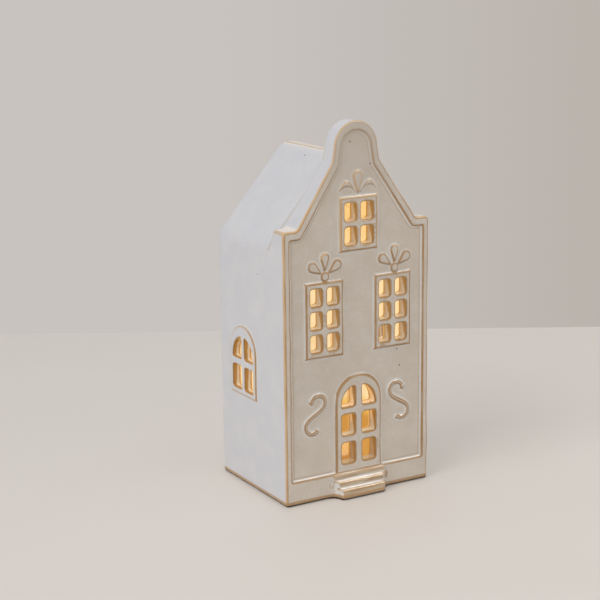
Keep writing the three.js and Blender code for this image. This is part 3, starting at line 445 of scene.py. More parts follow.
    def glow(self, r: Recipe) -> tuple[Socket, Socket]:
        """Builds the warm light of the inner walls and of the panes' reveals.

        Args:
            r: The recipe to build in.

        Returns:
            The light's colour and strength.
        """
        inside = self.inside(r)
        height = r.height()
        streak = r.streaks((1.0, 1.0, 0.14), 190.0)
        walls = r.layered(
            self.glow_low,
            (r.ramp(height, *self.floor_light), self.glow_middle),
            (r.ramp(height, *self.lamp_light), self.glow_high),
            (r.ramp(height, *self.attic_light), self.glow_top),
            (r.ramp(streak, 0.5, 0.68, 0.0, 0.5), self.glow_streak))
        mouth, pale, throat = self.bands(r)
        sideways = r.math("ABSOLUTE", r.node("SeparateXYZ", Vector=r.place()).outputs["X"])
        lamp_lit = r.times(r.ramp(height, *self.lamp_bottom), r.ramp(sideways, *self.lamp_side, 0.3, 0.0))
        lamp_lit = r.times(lamp_lit, r.ramp(height, *self.lamp_top, 1.0, 0.0))
        colour = r.layered(self.glow_amber, (pale, self.glow_pale), (throat, self.glow_throat),
                           (r.times(lamp_lit, 2.4), self.glow_throat), (inside, walls))
        strength = r.times(lamp_lit, r.larger(pale, throat))
        for share, power in ((mouth, self.mouth_glow), (pale, self.pale_glow), (throat, self.throat_glow)):
            strength = r.larger(strength, r.times(share, power))
        strength = r.times(strength, mouth)
        return colour, r.larger(strength, r.times(inside, self.wall_glow))

    def build(self) -> bpy.types.Material:
        """Builds the material.

        Returns:
            The glaze, which reads the skin's attributes.
        """
        r = Recipe("glaze_over_stoneware")
        outside, worn = self.base(r)
        inside = self.inside(r)
        dull = r.times(inside, 0.8)
        glow, strength = self.glow(r)
        soft = r.bump(r.noise(240, 2, 0.5), 0.22, 0.0004)
        relief = r.bump(r.noise(1100, 3, 0.6), 0.1, 0.0001, soft)
        return r.surface(
            Base_Color=r.mix(inside, outside, self.inner),
            Roughness=r.larger(r.ramp(worn, 0.2, 0.9, *self.roughness), dull),
            Normal=relief, IOR=self.refraction,
            Coat_Weight=r.attribute("tread"), Coat_Roughness=self.coat_roughness,
            Subsurface_Weight=self.milkiness, Subsurface_Radius=self.scattering, Subsurface_Scale=1.0,
            Emission_Color=glow, Emission_Strength=strength,
        )


@dataclass(frozen=True)
class Moulded:
    """Moulded plastic or silicone with a fine spark texture."""

    name: str
    colour: Colour
    roughness: float = 0.42
    texture: float = 1500.0
    depth: float = 0.00004

    def build(self) -> bpy.types.Material:
        """Builds the material.

        Returns:
            The plastic.
        """
        r = Recipe(self.name)
        tone = r.noise(60, 3, 0.5)
        colour = r.mix(r.ramp(tone, 0.3, 0.75, 0.0, 0.5), self.colour, darker(self.colour, 0.86))
        gloss = r.ramp(r.noise(400, 2), 0.3, 0.7, self.roughness - 0.06, self.roughness + 0.08)
        relief = r.bump(r.noise(self.texture, 3), 0.3, self.depth)
        return r.surface(Base_Color=colour, Roughness=gloss, Normal=relief)


@dataclass(frozen=True)
class Metal:
    """Plated metal with faint streaks and tarnish."""

    name: str
    colour: Colour
    roughness: float = 0.28

    def build(self) -> bpy.types.Material:
        """Builds the material.

        Returns:
            The metal.
        """
        r = Recipe(self.name)
        streak = r.streaks((1.0, 1.0, 9.0), 900.0)
        tarnish = r.ramp(r.noise(250, 4, 0.65), 0.45, 0.8, 0.0, 0.6)
        colour = r.mix(tarnish, self.colour, darker(self.colour, 0.7))
        gloss = r.ramp(streak, 0.3, 0.7, self.roughness - 0.06, self.roughness + 0.12)
        relief = r.bump(streak, 0.15, 0.00003)
        return r.surface(Base_Color=colour, Roughness=gloss, Normal=relief, Metallic=1.0)


@dataclass(frozen=True)
class Lens:
    """Clear epoxy of the LED, lit warm from inside."""

    colour: Colour = srgb(255, 226, 160)
    strength: float = 6.0

    def build(self) -> bpy.types.Material:
        """Builds the material.

        Returns:
            The lens.
        """
        r = Recipe("led_epoxy")
        facing = r.node("LayerWeight", Blend=0.4).outputs["Facing"]
        clear = r.ramp(facing, 0.1, 0.9, 0.04, 0.16)
        core = r.mix(r.noise(500, 2), self.colour, srgb(255, 205, 120))
        return r.surface(Base_Color=core, Roughness=clear, Emission_Color=core,
                         Emission_Strength=self.strength)


def put(name: str, data: bpy.types.ID) -> bpy.types.Object:
    """Puts a new object at the scene's origin.

    Args:
        name: The object's name.
        data: Its mesh, lamp or camera.

    Returns:
        The object.
    """
    made = bpy.data.objects.new(name, data)
    bpy.context.scene.collection.objects.link(made)
    return made


def add_mesh(name: str, points: np.ndarray, faces: np.ndarray) -> bpy.types.Object:
    """Makes an object from arrays.

    Args:
        name: The object's name.
        points: One row of x, y, z for each vertex.
        faces: One row of vertex numbers for each face.

    Returns:
        The new object, linked to the scene.
    """
    mesh = bpy.data.meshes.new(name)
    mesh.from_pydata(points.tolist(), [], faces.tolist())
    mesh.update()
    return put(name, mesh)


def baked(source: bpy.types.Object) -> bpy.types.Mesh:
    """Gives the mesh that an object's modifiers make.

    Args:
        source: The object with its modifiers.

    Returns:
        A new mesh.
    """
    graph = bpy.context.evaluated_depsgraph_get()
    graph.update()
    return bpy.data.meshes.new_from_object(source.evaluated_get(graph))


def read(items: bpy.types.bpy_prop_collection, key: str, width: int = 3,
         kind: type = np.float32) -> np.ndarray:
    """Reads one property of many items.

    Args:
        items: The items.
        key: The property's name.
        width: How many numbers it has.
        kind: The kind of number.

    Returns:
        One row for each item.
    """
    flat = np.empty(len(items) * width, kind)
    items.foreach_get(key, flat)
    return flat.reshape(-1, width)


def read_points(mesh: bpy.types.Mesh) -> np.ndarray:
    """Gives a mesh's vertices as an array of x, y, z."""
    return read(mesh.vertices, "co").astype(float)


def read_edges(mesh: bpy.types.Mesh) -> np.ndarray:
    """Gives the two vertex numbers of each of a mesh's edges."""
    return read(mesh.edges, "vertices", 2, np.int32)


def rising(values: np.ndarray, start: float, width: float) -> np.ndarray:
    """Rises from 0 at a start to 1 a width further on, and stays there."""
    return np.clip((values - start) / width, 0, 1)


class Skin:
    """A dense closed surface that can be smoothed and measured."""

    def __init__(self, mesh: bpy.types.Mesh) -> None:
        """Reads the mesh.

        Args:
            mesh: A closed mesh of four-sided faces.
        """
        self.mesh = mesh
        self.points = read_points(mesh)
        self.pairs = read_edges(mesh)
        self.count = len(self.points)
        self.degree = np.bincount(self.pairs.ravel(), minlength=self.count).astype(float)

    def average(self) -> np.ndarray:
        """Gives the mean place of each vertex's neighbours.

        Returns:
            One row for each vertex.
        """
        first, second = self.pairs.T
        result = np.empty_like(self.points)
        for k, column in enumerate(self.points.T):
            total = np.bincount(first, weights=column[second], minlength=self.count)
            total += np.bincount(second, weights=column[first], minlength=self.count)
            result[:, k] = total / self.degree
        return result

    def smooth(self, passes: int, share: float = 0.5) -> None:
        """Smooths the surface, each pass going a share of the way to the neighbours' mean."""
        for _ in range(passes):
            self.points = self.points + share * (self.average() - self.points)

    def normals(self) -> np.ndarray:
        """Gives the vertex normals of the present points."""
        self.mesh.vertices.foreach_set("co", self.points.astype(np.float32).ravel())
        self.mesh.update()
        return read(self.mesh.vertex_normals, "vector").astype(float)


class Landmarks:
    """Points along the sharp edges of a solid, for measuring how far away they are."""

    def __init__(self, solid: bpy.types.Mesh, turn: float, spacing: float, outward: bool) -> None:
        """Finds the edges and sets points along them.

        Args:
            solid: The solid's mesh, its vertices joined.
            turn: The least angle of an edge, in degrees.
            spacing: How far apart the points are.
            outward: Takes the outward edges, or else the hollow ones.
        """
        form = bmesh.new()
        form.from_mesh(solid)
        sign = 1 if outward else -1
        points = []
        for edge in form.edges:
            if len(edge.link_faces) == 2 and sign * edge.calc_face_angle_signed() > math.radians(turn):
                start, end = (vert.co.copy() for vert in edge.verts)
                count = max(1, math.ceil((end - start).length / spacing))
                points.extend(start.lerp(end, k / count) for k in range(count + 1))
        form.free()
        self.tree = KDTree(len(points))
        for number, point in enumerate(points):
            self.tree.insert(point, number)
        self.tree.balance()
        self.count = len(points)

    def nearest(self, places: np.ndarray) -> tuple[np.ndarray, np.ndarray]:
        """Finds the nearest edge point of each place, and how far away it is."""
        found = [self.tree.find(place) for place in places]
        return np.array([hit[0] for hit in found]), np.array([hit[2] for hit in found])


@dataclass(frozen=True)
class Window:
    """A group of panes in a wall, its sizes in metres."""

    centre: float
    half_width: float
    bottom: float
    top: float
    first_pane: float
    pane_height: float
    pitch: float

    def holds(self, across: np.ndarray, z: np.ndarray) -> np.ndarray:
        """Tells which points lie within the group, by how far along the wall and how high they are."""
        return (np.abs(across - self.centre) < self.half_width) & (z > self.bottom) & (z < self.top)

    def drop(self, z: np.ndarray) -> np.ndarray:
        """Gives how far down in its pane each height is, 0 to 1."""
        return np.clip(1 - ((z - self.first_pane) % self.pitch) / self.pane_height, 0, 1)


@dataclass
class CeramicHouse:
    """The hollow house: walls, roof, gable, steps, frames and ornament in one fired piece."""

    node: str = "ceramic_house"
    voxel: float = 0.0004
    softening: int = 3
    faces: int = 150000
    most_faces: int = 196000
    least_length: float = 0.0011
    length_share: float = 0.6
    least_turn: float = 25.0
    spacing: float = 0.00015
    wall: float = 0.0042
    half_width: float = 0.0445
    facade_y: float = -0.03275
    panel_y: float = -0.03145
    back_y: float = 0.03935
    ridge_height: float = 0.187
    ridge_top: float = 0.1826
    roof_slope: float = 1.1348
    floor_top: float = 0.0094
    thickening: float = 0.0024
    frame_relief: float = 0.001
    side_relief: float = 0.0008
    front_windows: tuple[Window, ...] = (
        Window(-0.0202, 0.0107, 0.0786, 0.1177, 0.08125, 0.00923, 0.01228),
        Window(0.0219, 0.0107, 0.0786, 0.1177, 0.08125, 0.00923, 0.01228),
        Window(0.0009, 0.0109, 0.1331, 0.1605, 0.1357, 0.0096, 0.0126),
        Window(0.0004, 0.0136, 0.0147, 0.0655, 0.0178, 0.0117, 0.0156))
    side_window: Window = Window(0.01165, 0.0134, 0.0511, 0.0885, 0.0534, 0.0131, 0.0171)
    unevenness: float = 0.00011
    wave_length: float = 0.024
    waves: int = 14
    steps_top: float = 0.0145
    shoulders: float = 0.13
    slopes: float = 0.16
    parapet: float = 0.011
    finish: Glaze = field(default_factory=Glaze)

    def solid(self) -> bpy.types.Mesh:
        """Copies the house's solid and joins its loose triangles.

        Returns:
            The copy, its front wall thickened inwards, as the panes of the photograph show it.
        """
        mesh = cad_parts[self.node].data.copy()
        joined = bmesh.new()
        joined.from_mesh(mesh)
        bmesh.ops.remove_doubles(joined, verts=joined.verts, dist=1e-6)
        inner = self.panel_y + self.wall
        for vert in joined.verts:
            if abs(vert.co.y - inner) < 1e-5:
                vert.co.y += self.thickening
        joined.to_mesh(mesh)
        joined.free()
        return mesh

    def dense_skin(self, solid: bpy.types.Mesh) -> Skin:
        """Covers the solid with a fine even skin.

        Args:
            solid: The solid's mesh.

        Returns:
            The skin.
        """
        source = put("house_solid", solid)
        remesh = source.modifiers.new("skin", "REMESH")
        remesh.mode = "VOXEL"
        remesh.voxel_size = self.voxel
        remesh.adaptivity = 0
        skin = Skin(baked(source))
        bpy.data.objects.remove(source)
        return skin

    def depth(self, points: np.ndarray) -> np.ndarray:
        """Measures how far points lie behind the walls' outer faces.

        Args:
            points: One row of x, y, z for each point.

        Returns:
            The depths in metres, below 0 outside.
        """
        x, y, z = np.abs(points[:, 0]), points[:, 1], points[:, 2]
        roof = (self.ridge_height - self.roof_slope * x - z) / math.hypot(1, self.roof_slope)
        framed = np.any([window.holds(points[:, 0], z) for window in self.front_windows], axis=0)
        proud = self.frame_relief * framed
        front = (y - self.panel_y + proud) * self.wall / (self.wall + self.thickening + proud)
        proud = self.side_relief * self.side_window.holds(y, z)
        beside = (self.half_width - x + proud) * self.wall / (self.wall + proud)
        sides = [front, beside, self.back_y - y, roof, self.ridge_top - z, z - self.floor_top + self.wall]
        return np.min(sides, axis=0)

    def drop(self, points: np.ndarray) -> np.ndarray:
        """Measures how far down in its pane each point is.

        Args:
            points: One row of x, y, z for each point.

        Returns:
            0 at a pane's top, 1 at its bottom, less in the side wall, and 0 away from the windows.
        """
        result = np.zeros(len(points))
        z = points[:, 2]
        for window in self.front_windows:
            held = window.holds(points[:, 0], z) & (points[:, 1] < self.panel_y + 2 * self.wall)
            result = np.where(held, window.drop(z), result)
        outer = np.abs(points[:, 0]) > self.half_width - 2 * self.wall
        held = self.side_window.holds(points[:, 1], z) & outer
        return np.where(held, 0.35 * self.side_window.drop(z) - 0.1, result)

    def lit_depth(self, points: np.ndarray, normals: np.ndarray) -> np.ndarray:
        """Measures depths like depth(), but gives 0 or less on every outer face.

        Args:
            points: One row of x, y, z for each point.
            normals: One row of x, y, z for each point's normal.

        Returns:
            The depths in metres.
        """
        deep = self.depth(points)
        step = 0.0001
        rise = (self.depth(points + normals * step) - deep) / step
        return np.where((rise < -0.45) & (deep < 0.8 * self.wall), np.minimum(deep, 0), deep)

    def make_uneven(self, skin: Skin) -> None:
        """Gives the outer faces the slight waves of slip-cast clay.

        Args:
            skin: The skin to change.
        """
        chance = np.random.default_rng(7)
        wave = np.zeros(skin.count)
        for _ in range(self.waves):
            way = chance.normal(size=3)
            way /= np.linalg.norm(way)
            length = self.wave_length * chance.uniform(0.6, 1.8)
            wave += np.sin(skin.points @ way * (2 * math.pi / length) + chance.uniform(0, 2 * math.pi))
        outside = np.clip(1 - self.depth(skin.points) / 0.001, 0, 1)
        above = rising(skin.points[:, 2], 0.001, 0.004)
        step = self.unevenness * wave / math.sqrt(self.waves) * outside * above
        skin.points = skin.points + skin.normals() * step[:, None]

    def thinned(self, skin: Skin) -> bpy.types.Mesh:
        """Takes away the points that flat places don't need.

        Args:
            skin: The dense skin.

        Returns:
            A new mesh.
        """
        skin.normals()
        dense = put("dense", skin.mesh)
        thin = dense.modifiers.new("thin", "DECIMATE")
        thin.ratio = self.faces / (2 * len(skin.mesh.polygons))
        thin.use_collapse_triangulate = True
        mesh = baked(dense)
        bpy.data.objects.remove(dense)
        return mesh

    def split_long_edges(self, mesh: bpy.types.Mesh, landmarks: list[Landmarks]) -> None:
        """Splits edges that are too long to carry the marks, most finely beside the landmarks.

        Args:
            mesh: The mesh to change.
            landmarks: The edges of the solid.
        """
        for _ in range(4):
            points = read_points(mesh)
            near = np.min([marks.nearest(points)[1] for marks in landmarks], axis=0)
            first, second = read_edges(mesh).T
            length = np.linalg.norm(points[first] - points[second], axis=1)
            limit = np.maximum(self.least_length, self.length_share * np.minimum(near[first], near[second]))
            chosen = np.nonzero(length > limit * 1.3)[0]
            room = (self.most_faces - len(mesh.polygons)) // 2
            if len(chosen) == 0 or room <= 0:
                return
            order = np.argsort(-(length / limit)[chosen])
            chosen = chosen[order[:room]]
            form = bmesh.new()
            form.from_mesh(mesh)
            form.edges.ensure_lookup_table()
            bmesh.ops.subdivide_edges(form, edges=[form.edges[k] for k in chosen], cuts=1)
            bmesh.ops.triangulate(form, faces=form.faces)
            form.to_mesh(mesh)
            form.free()

    def mark(self, mesh: bpy.types.Mesh, ridges: Landmarks, hollows: Landmarks) -> None:
        """Stores what the glaze reads, lengths in millimetres.

        Args:
            mesh: The finished mesh.
            ridges: The solid's outward edges.
            hollows: The solid's hollow edges.
        """
        points = read_points(mesh)
        normals = read(mesh.vertex_normals, "vector")
        x, y, z = points.T
        corner, reach = hollows.nearest(points)
        proud = np.clip(np.einsum("ij,ij->i", points - corner, normals), 0, None)
        edge, away = ridges.nearest(points)
        steps = rising(-y, 0.0004 - self.facade_y, 0.0006) * rising(-z, -self.steps_top, 0.0005)
        level = np.clip(1.4 - 2 * np.abs(normals[:, 0]), 0, 1)
        high = z > self.shoulders
        behind = rising(y, self.facade_y + self.parapet, 0.001)
        roof = behind * rising(z, self.ridge_top - 0.0016, 0.0012)
        shoulder = (1 - behind) * rising(normals[:, 2], 0.6, 0.3) * high * (z < self.slopes)
        outwards = normals[:, 0] * np.sign(x) + np.clip(normals[:, 2], 0, 1) * high
        rounded = rising(y, self.facade_y + 0.0001, 0.0002) * (y < self.facade_y + 0.0035)
        outer = (np.abs(x) > self.half_width - 0.0014) | high & (y < self.facade_y + 0.0011)
        sunk = np.clip(1.6 - np.abs(y - self.panel_y + 0.0001) / 0.0004, 0, 1) * (normals[:, 1] < -0.6)
        rim = edge[:, 1] < self.facade_y + 0.00015
        framed = np.any([window.holds(x, z) for window in self.front_windows], axis=0)
        inner = rim & (y < self.facade_y + 0.0014) & (outwards < 0.3) & (np.abs(x) < self.half_width - 0.002)
        marks = {
            "ridge": 1000 * away,
            "pool": 1000 * (reach + 3 * np.clip(proud - 0.0002, 0, None)),
            "depth": 1000 * self.lit_depth(points, normals),
            "front": np.clip(-normals[:, 1] * 1.3 - 0.1, 0, 1),
            "drop": self.drop(points),
            "tread": steps * level,
            "flank": steps * (1 - level),
            # Where the highlight is painted: along the rounded ridge and on the shoulders' level tops.
            "crest": np.maximum(roof, shoulder * (y > self.facade_y + 0.0008)),
            "corner": rounded * outer * np.clip(outwards * 4, 0, 1),
            "panel": sunk * rim,
            "bold": inner | framed & (y < self.panel_y + 0.001),
        }
        for name, values in marks.items():
            made = mesh.attributes.new(name, "FLOAT", "POINT")
            made.data.foreach_set("value", values.astype(np.float32))

    def build(self) -> bpy.types.Object:
        """Makes the house.

        Returns:
            The finished piece.
        """
        solid = self.solid()
        ridges = Landmarks(solid, self.least_turn, self.spacing, True)
        hollows = Landmarks(solid, self.least_turn, self.spacing, False)
        LOG.info("edge points: %d outward, %d hollow", ridges.count, hollows.count)
        skin = self.dense_skin(solid)
        skin.smooth(self.softening)
        self.make_uneven(skin)
        mesh = self.thinned(skin)
        mesh.name = "house_skin"
        self.split_long_edges(mesh, [ridges, hollows])
        self.mark(mesh, ridges, hollows)
        made = put("house_glazed", mesh)
        mesh.polygons.foreach_set("use_smooth", [True] * len(mesh.polygons))
        mesh.materials.clear()
        mesh.materials.append(self.finish.build())
        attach(made, "house")
        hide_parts(self.node)
        LOG.info("%s: %d faces", made.name, len(mesh.polygons))
        return made


class Former(Nodes):
    """Builds one Geometry Nodes tree with named sizes."""

    prefix = "GeometryNode"

    def __init__(self, name: str, sizes: dict[str, float]) -> None:
        """Starts the tree.

        Args:
            name: The tree's name.
            sizes: The name and value of each size.
        """
        super().__init__(bpy.data.node_groups.new(name, "GeometryNodeTree"))
        self.sizes = sizes
        face = self.tree.interface
        face.new_socket("Geometry", in_out="INPUT", socket_type="NodeSocketGeometry")
        self.identifiers = {}
        for size, value in sizes.items():
            made = face.new_socket(size, in_out="INPUT", socket_type="NodeSocketFloat")
            made.default_value = value
            self.identifiers[size] = made.identifier
        face.new_socket("Geometry", in_out="OUTPUT", socket_type="NodeSocketGeometry")
        self.inlet = self.node("NodeGroupInput")

    def size(self, name: str) -> Socket:
        """Gives one of the named sizes."""
        return self.inlet.outputs[name]

    def position(self) -> tuple[Socket, Socket, Socket]:
        """Gives the x, y and z of each point."""
        return tuple(self.node("ShaderNodeSeparateXYZ", Vector=self.node("InputPosition").outputs[0]).outputs)

    def vector(self, x: object = 0.0, y: object = 0.0, z: object = 0.0) -> Socket:
        """Joins three values to a vector."""
        return self.node("ShaderNodeCombineXYZ", X=x, Y=y, Z=z).outputs[0]

    def end(self, geometry: Socket, material: bpy.types.Material) -> None:
        """Makes instances real, gives them their material and ends the tree.

        Args:
            geometry: What the tree has made.
            material: Its material.
        """
        real = self.node("RealizeInstances", Geometry=geometry).outputs[0]
        smooth = self.node("SetShadeSmooth", Geometry=real).outputs[0]
        dressed = self.node("SetMaterial", Geometry=smooth, Material=material).outputs[0]
        self.tree.links.new(dressed, self.node("NodeGroupOutput").inputs[0])

    def applied(self, made: bpy.types.Object) -> bpy.types.Mesh:
        """Runs the tree on an object.

        Args:
            made: The object it starts from.

        Returns:
            The plain mesh that comes of it.
        """
        modifier = made.modifiers.new("form", "NODES")
        modifier.node_group = self.tree
        for size, value in self.sizes.items():
            modifier[self.identifiers[size]] = value
        mesh = baked(made)
        made.modifiers.remove(modifier)
        return mesh


class Fastener(Enum):
    """The screws that show from below, by the body they ride on."""

    HOUSING = "light_unit"
    DOOR = "door_screw"

    def nodes(self) -> list[str]:
        """Lists the CAD nodes of these screws."""
        if self is Fastener.DOOR:
            return ["door_screw"]
        return [f"housing_screw_{number}" for number in range(1, 5)]


@dataclass
class Screws:
    """Pan-head screws with cross recesses and real threads, heads down."""

    head_radius: float = 0.00176
    head_height: float = 0.00098
    thread_radius: float = 0.00088
    thread_depth: float = 0.0002
    thread_pitch: float = 0.0007
    recess_length: float = 0.0021
    recess_width: float = 0.00046
    recess_depth: float = 0.0006
    overlap: float = 0.0002
    tip: float = 0.0012
    clearance: float = 0.00002
    finish: Metal = field(default_factory=lambda: Metal("screw_steel", srgb(188, 189, 191), 0.24))

    def head(self, f: Former) -> Socket:
        """Forms the domed head below z = 0, with its cross recess.

        Args:
            f: The tree to build in.

        Returns:
            The head.
        """
        ball = f.node("MeshUVSphere", Segments=40, Rings=24, Radius=1.0).outputs["Mesh"]
        x, y, z = f.position()
        square = f.math("MULTIPLY_ADD", x, x, f.times(y, y))
        fuller = f.math("POWER", f.math("ADD", square, 1e-6), -0.2)
        wide = f.times(fuller, f.size("Head Radius"))
        low = f.times(f.math("MINIMUM", z, 0.0), f.size("Head Height"))
        shaped = f.vector(f.times(x, wide), f.times(y, wide), low)
        dome = f.node("SetPosition", Geometry=ball, Position=shaped).outputs[0]
        cut = f.node("MeshBoolean", {"operation": "DIFFERENCE", "solver": "EXACT"})
        f.tree.links.new(dome, cut.inputs["Mesh 1"])
        deep = f.times(f.size("Recess Depth"), 2.0)
        down = f.vector(z=f.times(f.size("Head Height"), -1.0))
        for names in (("Recess Length", "Recess Width"), ("Recess Width", "Recess Length")):
            extent = f.vector(f.size(names[0]), f.size(names[1]), deep)
            bar = f.node("MeshCube", Size=extent).outputs["Mesh"]
            bar = f.node("Transform", Geometry=bar, Translation=down).outputs[0]
            f.tree.links.new(bar, cut.inputs["Mesh 2"])
        return cut.outputs["Mesh"]

    def shank(self, f: Former) -> Socket:
        """Forms the threaded shank above z = 0.

        Args:
            f: The tree to build in.

        Returns:
            The shank.
        """
        rod = f.node("MeshCylinder", Vertices=28, Side_Segments=96, Radius=1.0, Depth=1.0).outputs["Mesh"]
        x, y, z = f.position()
        whole = f.math("ADD", f.size("Length"), f.size("Overlap"))
        rise = f.math("SUBTRACT", f.times(f.math("ADD", z, 0.5), whole), f.size("Overlap"))
        turns = f.math("DIVIDE", f.math("ARCTAN2", y, x), 2 * math.pi)
        wave = f.math("FRACT", f.math("SUBTRACT", f.math("DIVIDE", rise, f.size("Thread Pitch")), turns))
        crest = f.math("SUBTRACT", 1.0, f.math("ABSOLUTE", f.math("MULTIPLY_ADD", wave, 2.0, -1.0)))
        dip = f.times(f.math("SUBTRACT", 1.0, crest), f.size("Thread Depth"))
        radius = f.math("SUBTRACT", f.size("Thread Radius"), dip)
        left = f.math("DIVIDE", f.math("SUBTRACT", f.size("Length"), rise), f.size("Tip"))
        taper = f.larger(f.math("MINIMUM", left, 1.0), 0.35)
        radius = f.times(radius, taper)
        shaped = f.vector(f.times(x, radius), f.times(y, radius), rise)
        return f.node("SetPosition", Geometry=rod, Position=shaped).outputs[0]

    def make(self, kind: Fastener) -> bpy.types.Object:
        """Makes all the screws of one body, each where its CAD node is.

        Args:
            kind: Which screws.

        Returns:
            The finished piece.
        """
        boxes = [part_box(name) for name in kind.nodes()]
        rise = self.head_height + self.clearance
        seats = np.array([[(low.x + high.x) / 2, (low.y + high.y) / 2, low.z + rise] for low, high in boxes])
        sizes = {size.replace("_", " ").title(): getattr(self, size) for size in (
            "head_radius", "head_height", "thread_radius", "thread_depth", "thread_pitch", "recess_length",
            "recess_width", "recess_depth", "overlap", "tip")}
        sizes["Length"] = boxes[0][1].z - seats[0][2] - self.clearance
        f = Former(f"{kind.name.lower()}_screws", sizes)
        joined = f.node("JoinGeometry")
        for part in (self.head(f), self.shank(f)):
            f.tree.links.new(part, joined.inputs[0])
        chance = f.node("FunctionNodeRandomValue", {"data_type": "FLOAT"}, i2=0.0, i3=math.pi, Seed=4)
        turned = f.node("FunctionNodeEulerToRotation", Euler=f.vector(z=chance.outputs[1])).outputs[0]
        placed = f.node("InstanceOnPoints", Points=f.inlet.outputs["Geometry"], Instance=joined.outputs[0],
                        Rotation=turned).outputs[0]
        f.end(placed, self.finish.build())
        start = add_mesh(f"{kind.name.lower()}_screw_places", seats, np.empty((0, 3), int))
        mesh = f.applied(start)
        bpy.data.objects.remove(start)
        mesh.set_sharp_from_angle(angle=math.radians(38))
        made = put(f"{kind.name.lower()}_screws_threaded", mesh)
        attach(made, kind.value)
        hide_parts(*kind.nodes())
        LOG.info("%s: %d faces", made.name, len(mesh.polygons))
        return made


@dataclass
class LightUnit:
    """The battery light unit: its CAD pieces with their finishes, and its screws."""

    screws: Screws = field(default_factory=Screws)

    def build(self) -> None:
        """Makes the screws and gives every other piece its material."""
        for kind in Fastener:
            self.screws.make(kind)
        self.dress()

    def dress(self) -> None:
        """Gives every piece of the unit its material."""
        white = Moulded("white_abs", srgb(233, 231, 225)).build()
        black = Moulded("black_abs", srgb(38, 39, 42), 0.5).build()
        silicone = Moulded("silicone_ring", srgb(217, 216, 210), 0.6, 700.0).build()
        # The housing's ivory is warmer than white plastic: partly painted warm light from the LED.
        lamp_tinted_ivory = Moulded("ivory_abs_lamp_tinted", srgb(222, 190, 140)).build()
        steel = Metal("plated_steel", srgb(190, 192, 194)).build()
        nickel = Metal("nickel_strip", srgb(206, 200, 188), 0.24).build()
        board = Moulded("solder_mask", srgb(40, 96, 62), 0.35, 900.0).build()
        body = Moulded("resistor_lacquer", srgb(205, 181, 138), 0.4).build()
        lens = Lens().build()
        given = {
            "unit_housing": lamp_tinted_ivory, "unit_base": white, "battery_door": white, "switch_knob": black,
            "grip_ring": silicone, "switch_body": steel, "circuit_board": board, "led": lens,
            "resistor": body, "positive_contact": nickel, "negative_contact": nickel,
        }
        pairs = {"battery": steel, "board_screw": steel, "led_lead": nickel}
        given |= {f"{name}_{number}": pairs[name] for name in pairs for number in (1, 2)}
        for name, material in given.items():
            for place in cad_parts[name].material_slots:
                place.material = material
            LOG.info("%s: %s", name, material.name)


@dataclass(frozen=True)
class Lamp:
    """A soft lamp that points at the house, its power in watts."""

    name: str
    place: tuple[float, float, float]
    size: tuple[float, float]
    power: float
    colour: tuple[float, float, float]
    shadow: bool = True
    aim: tuple[float, float, float] = (0.0, 0.0, 0.1)

    def hang(self) -> None:
        """Hangs the lamp."""
        data = bpy.data.lights.new(self.name, "AREA")
        data.shape = "RECTANGLE"
        data.size, data.size_y = self.size
        data.energy = self.power
        data.color = self.colour
        data.use_shadow = self.shadow
        place = Vector(self.place)
        turn = (Vector(self.aim) - place).to_track_quat("-Z", "Y")
        put(self.name, data).matrix_world = Matrix.Translation(place) @ turn.to_matrix().to_4x4()


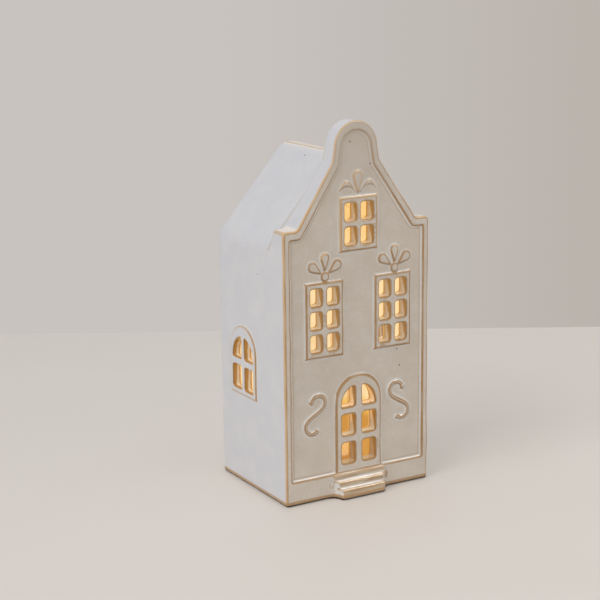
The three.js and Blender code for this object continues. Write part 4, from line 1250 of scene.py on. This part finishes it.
@dataclass
class Studio:
    """Floor, lamps, world and camera. The camera's turn is in degrees round x, y and z."""

    wall: Colour = srgb(200, 195, 191)
    wall_right_shaded: Colour = srgb(186, 179, 172)
    table: Colour = srgb(212, 205, 197)
    table_shade: Colour = srgb(207, 200, 191)
    table_half_width: float = 1.6
    table_behind: float = 0.325
    table_before: float = 0.9
    table_gap: float = 0.00005
    daylight: Colour = (0.92, 0.95, 1.0, 1.0)
    daylight_strength: float = 0.56
    sensor: float = 36.0
    lens: float = 91.323
    stand: tuple[float, float, float] = (-0.4146, -0.68446, 0.28847)
    turn: tuple[float, float, float] = (76.7509, 0.6656, -30.3682)
    lamps: tuple[Lamp, ...] = (
        Lamp("window", (-1.7, -0.5, 1.1), (1.5, 1.5), 22.0, (0.97, 0.97, 1.0)),
        Lamp("above", (0.77, -0.52, 1.3), (0.24, 0.9), 9.5, (1.0, 0.97, 0.93), False))

    def facing(self) -> Matrix:
        """Gives the camera's turn as a matrix."""
        return Euler([math.radians(angle) for angle in self.turn]).to_matrix()

    def right(self) -> Vector:
        """Gives the way that is right in the picture."""
        return self.facing().col[0].copy()

    def camera(self) -> None:
        """Sets the camera at the photograph's place and angle."""
        data = bpy.data.cameras.new("camera")
        data.sensor_fit = "HORIZONTAL"
        data.sensor_width = self.sensor
        data.lens = self.lens
        data.clip_start = 0.01
        made = put("camera", data)
        made.matrix_world = Matrix.Translation(self.stand) @ self.facing().to_4x4()
        bpy.context.scene.camera = made

    def floor(self) -> None:
        """Lays the plain pale table top."""
        right = self.right()
        across = Vector((right.x, right.y, 0)).normalized() * self.table_half_width
        away = Vector((-across.y, across.x, 0)).normalized()
        sunk = Vector((0, 0, -self.table_gap))
        before, behind = sunk - away * self.table_before, sunk + away * self.table_behind
        corners = [before - across, before + across, behind + across, behind - across]
        made = add_mesh("table", np.array(corners), np.array([[0, 1, 2, 3]]))
        r = Recipe("table_paint")
        shade = r.ramp(r.noise(12, 3), 0.3, 0.7, 0.0, 0.25)
        paint = r.surface(Base_Color=r.mix(shade, self.table, self.table_shade), Roughness=0.55,
                          Normal=r.bump(r.noise(300, 3), 0.1, 0.0003))
        made.data.materials.append(paint)

    def world(self) -> None:
        """Lights the room, and shows the wall's colour behind the house."""
        world = bpy.data.worlds.new("room")
        world.use_nodes = True
        n = Nodes(world.node_tree)
        n.tree.nodes.clear()
        path = n.node("LightPath").outputs
        seen = n.larger(path["Is Camera Ray"], path["Is Glossy Ray"])
        seen = n.larger(seen, path["Is Transmission Ray"])
        light = n.node("Background", Color=self.daylight, Strength=self.daylight_strength)
        shown = n.node("Background", Color=self.wall_colour(n), Strength=1.0)
        mix = n.node("MixShader", i0=seen, i1=light.outputs[0], i2=shown.outputs[0])
        n.node("OutputWorld", Surface=mix.outputs[0])
        bpy.context.scene.world = world

    def wall_colour(self, n: Nodes) -> Socket:
        """Lets the wall behind the house darken a little to the right: painted shade.

        Args:
            n: The world's nodes.

        Returns:
            The wall's colour.
        """
        way = n.node("TexCoord").outputs["Generated"]
        across = n.node("VectorMath", {"operation": "DOT_PRODUCT"}, i0=way, i1=self.right())
        share = n.node("MapRange", Value=across.outputs["Value"], From_Min=-0.05, From_Max=0.2)
        return n.mix(share.outputs["Result"], self.wall, self.wall_right_shaded)

    def build(self) -> None:
        """Sets up the whole studio."""
        self.camera()
        self.floor()
        self.world()
        for lamp in self.lamps:
            lamp.hang()
        bpy.context.scene.view_settings.view_transform = "Standard"


def main() -> None:
    """Builds the pieces in order."""
    logging.basicConfig(level=logging.INFO, format="%(message)s")
    Studio().build()
    LightUnit().build()
    CeramicHouse().build()


if __name__ == "__main__":
    main()
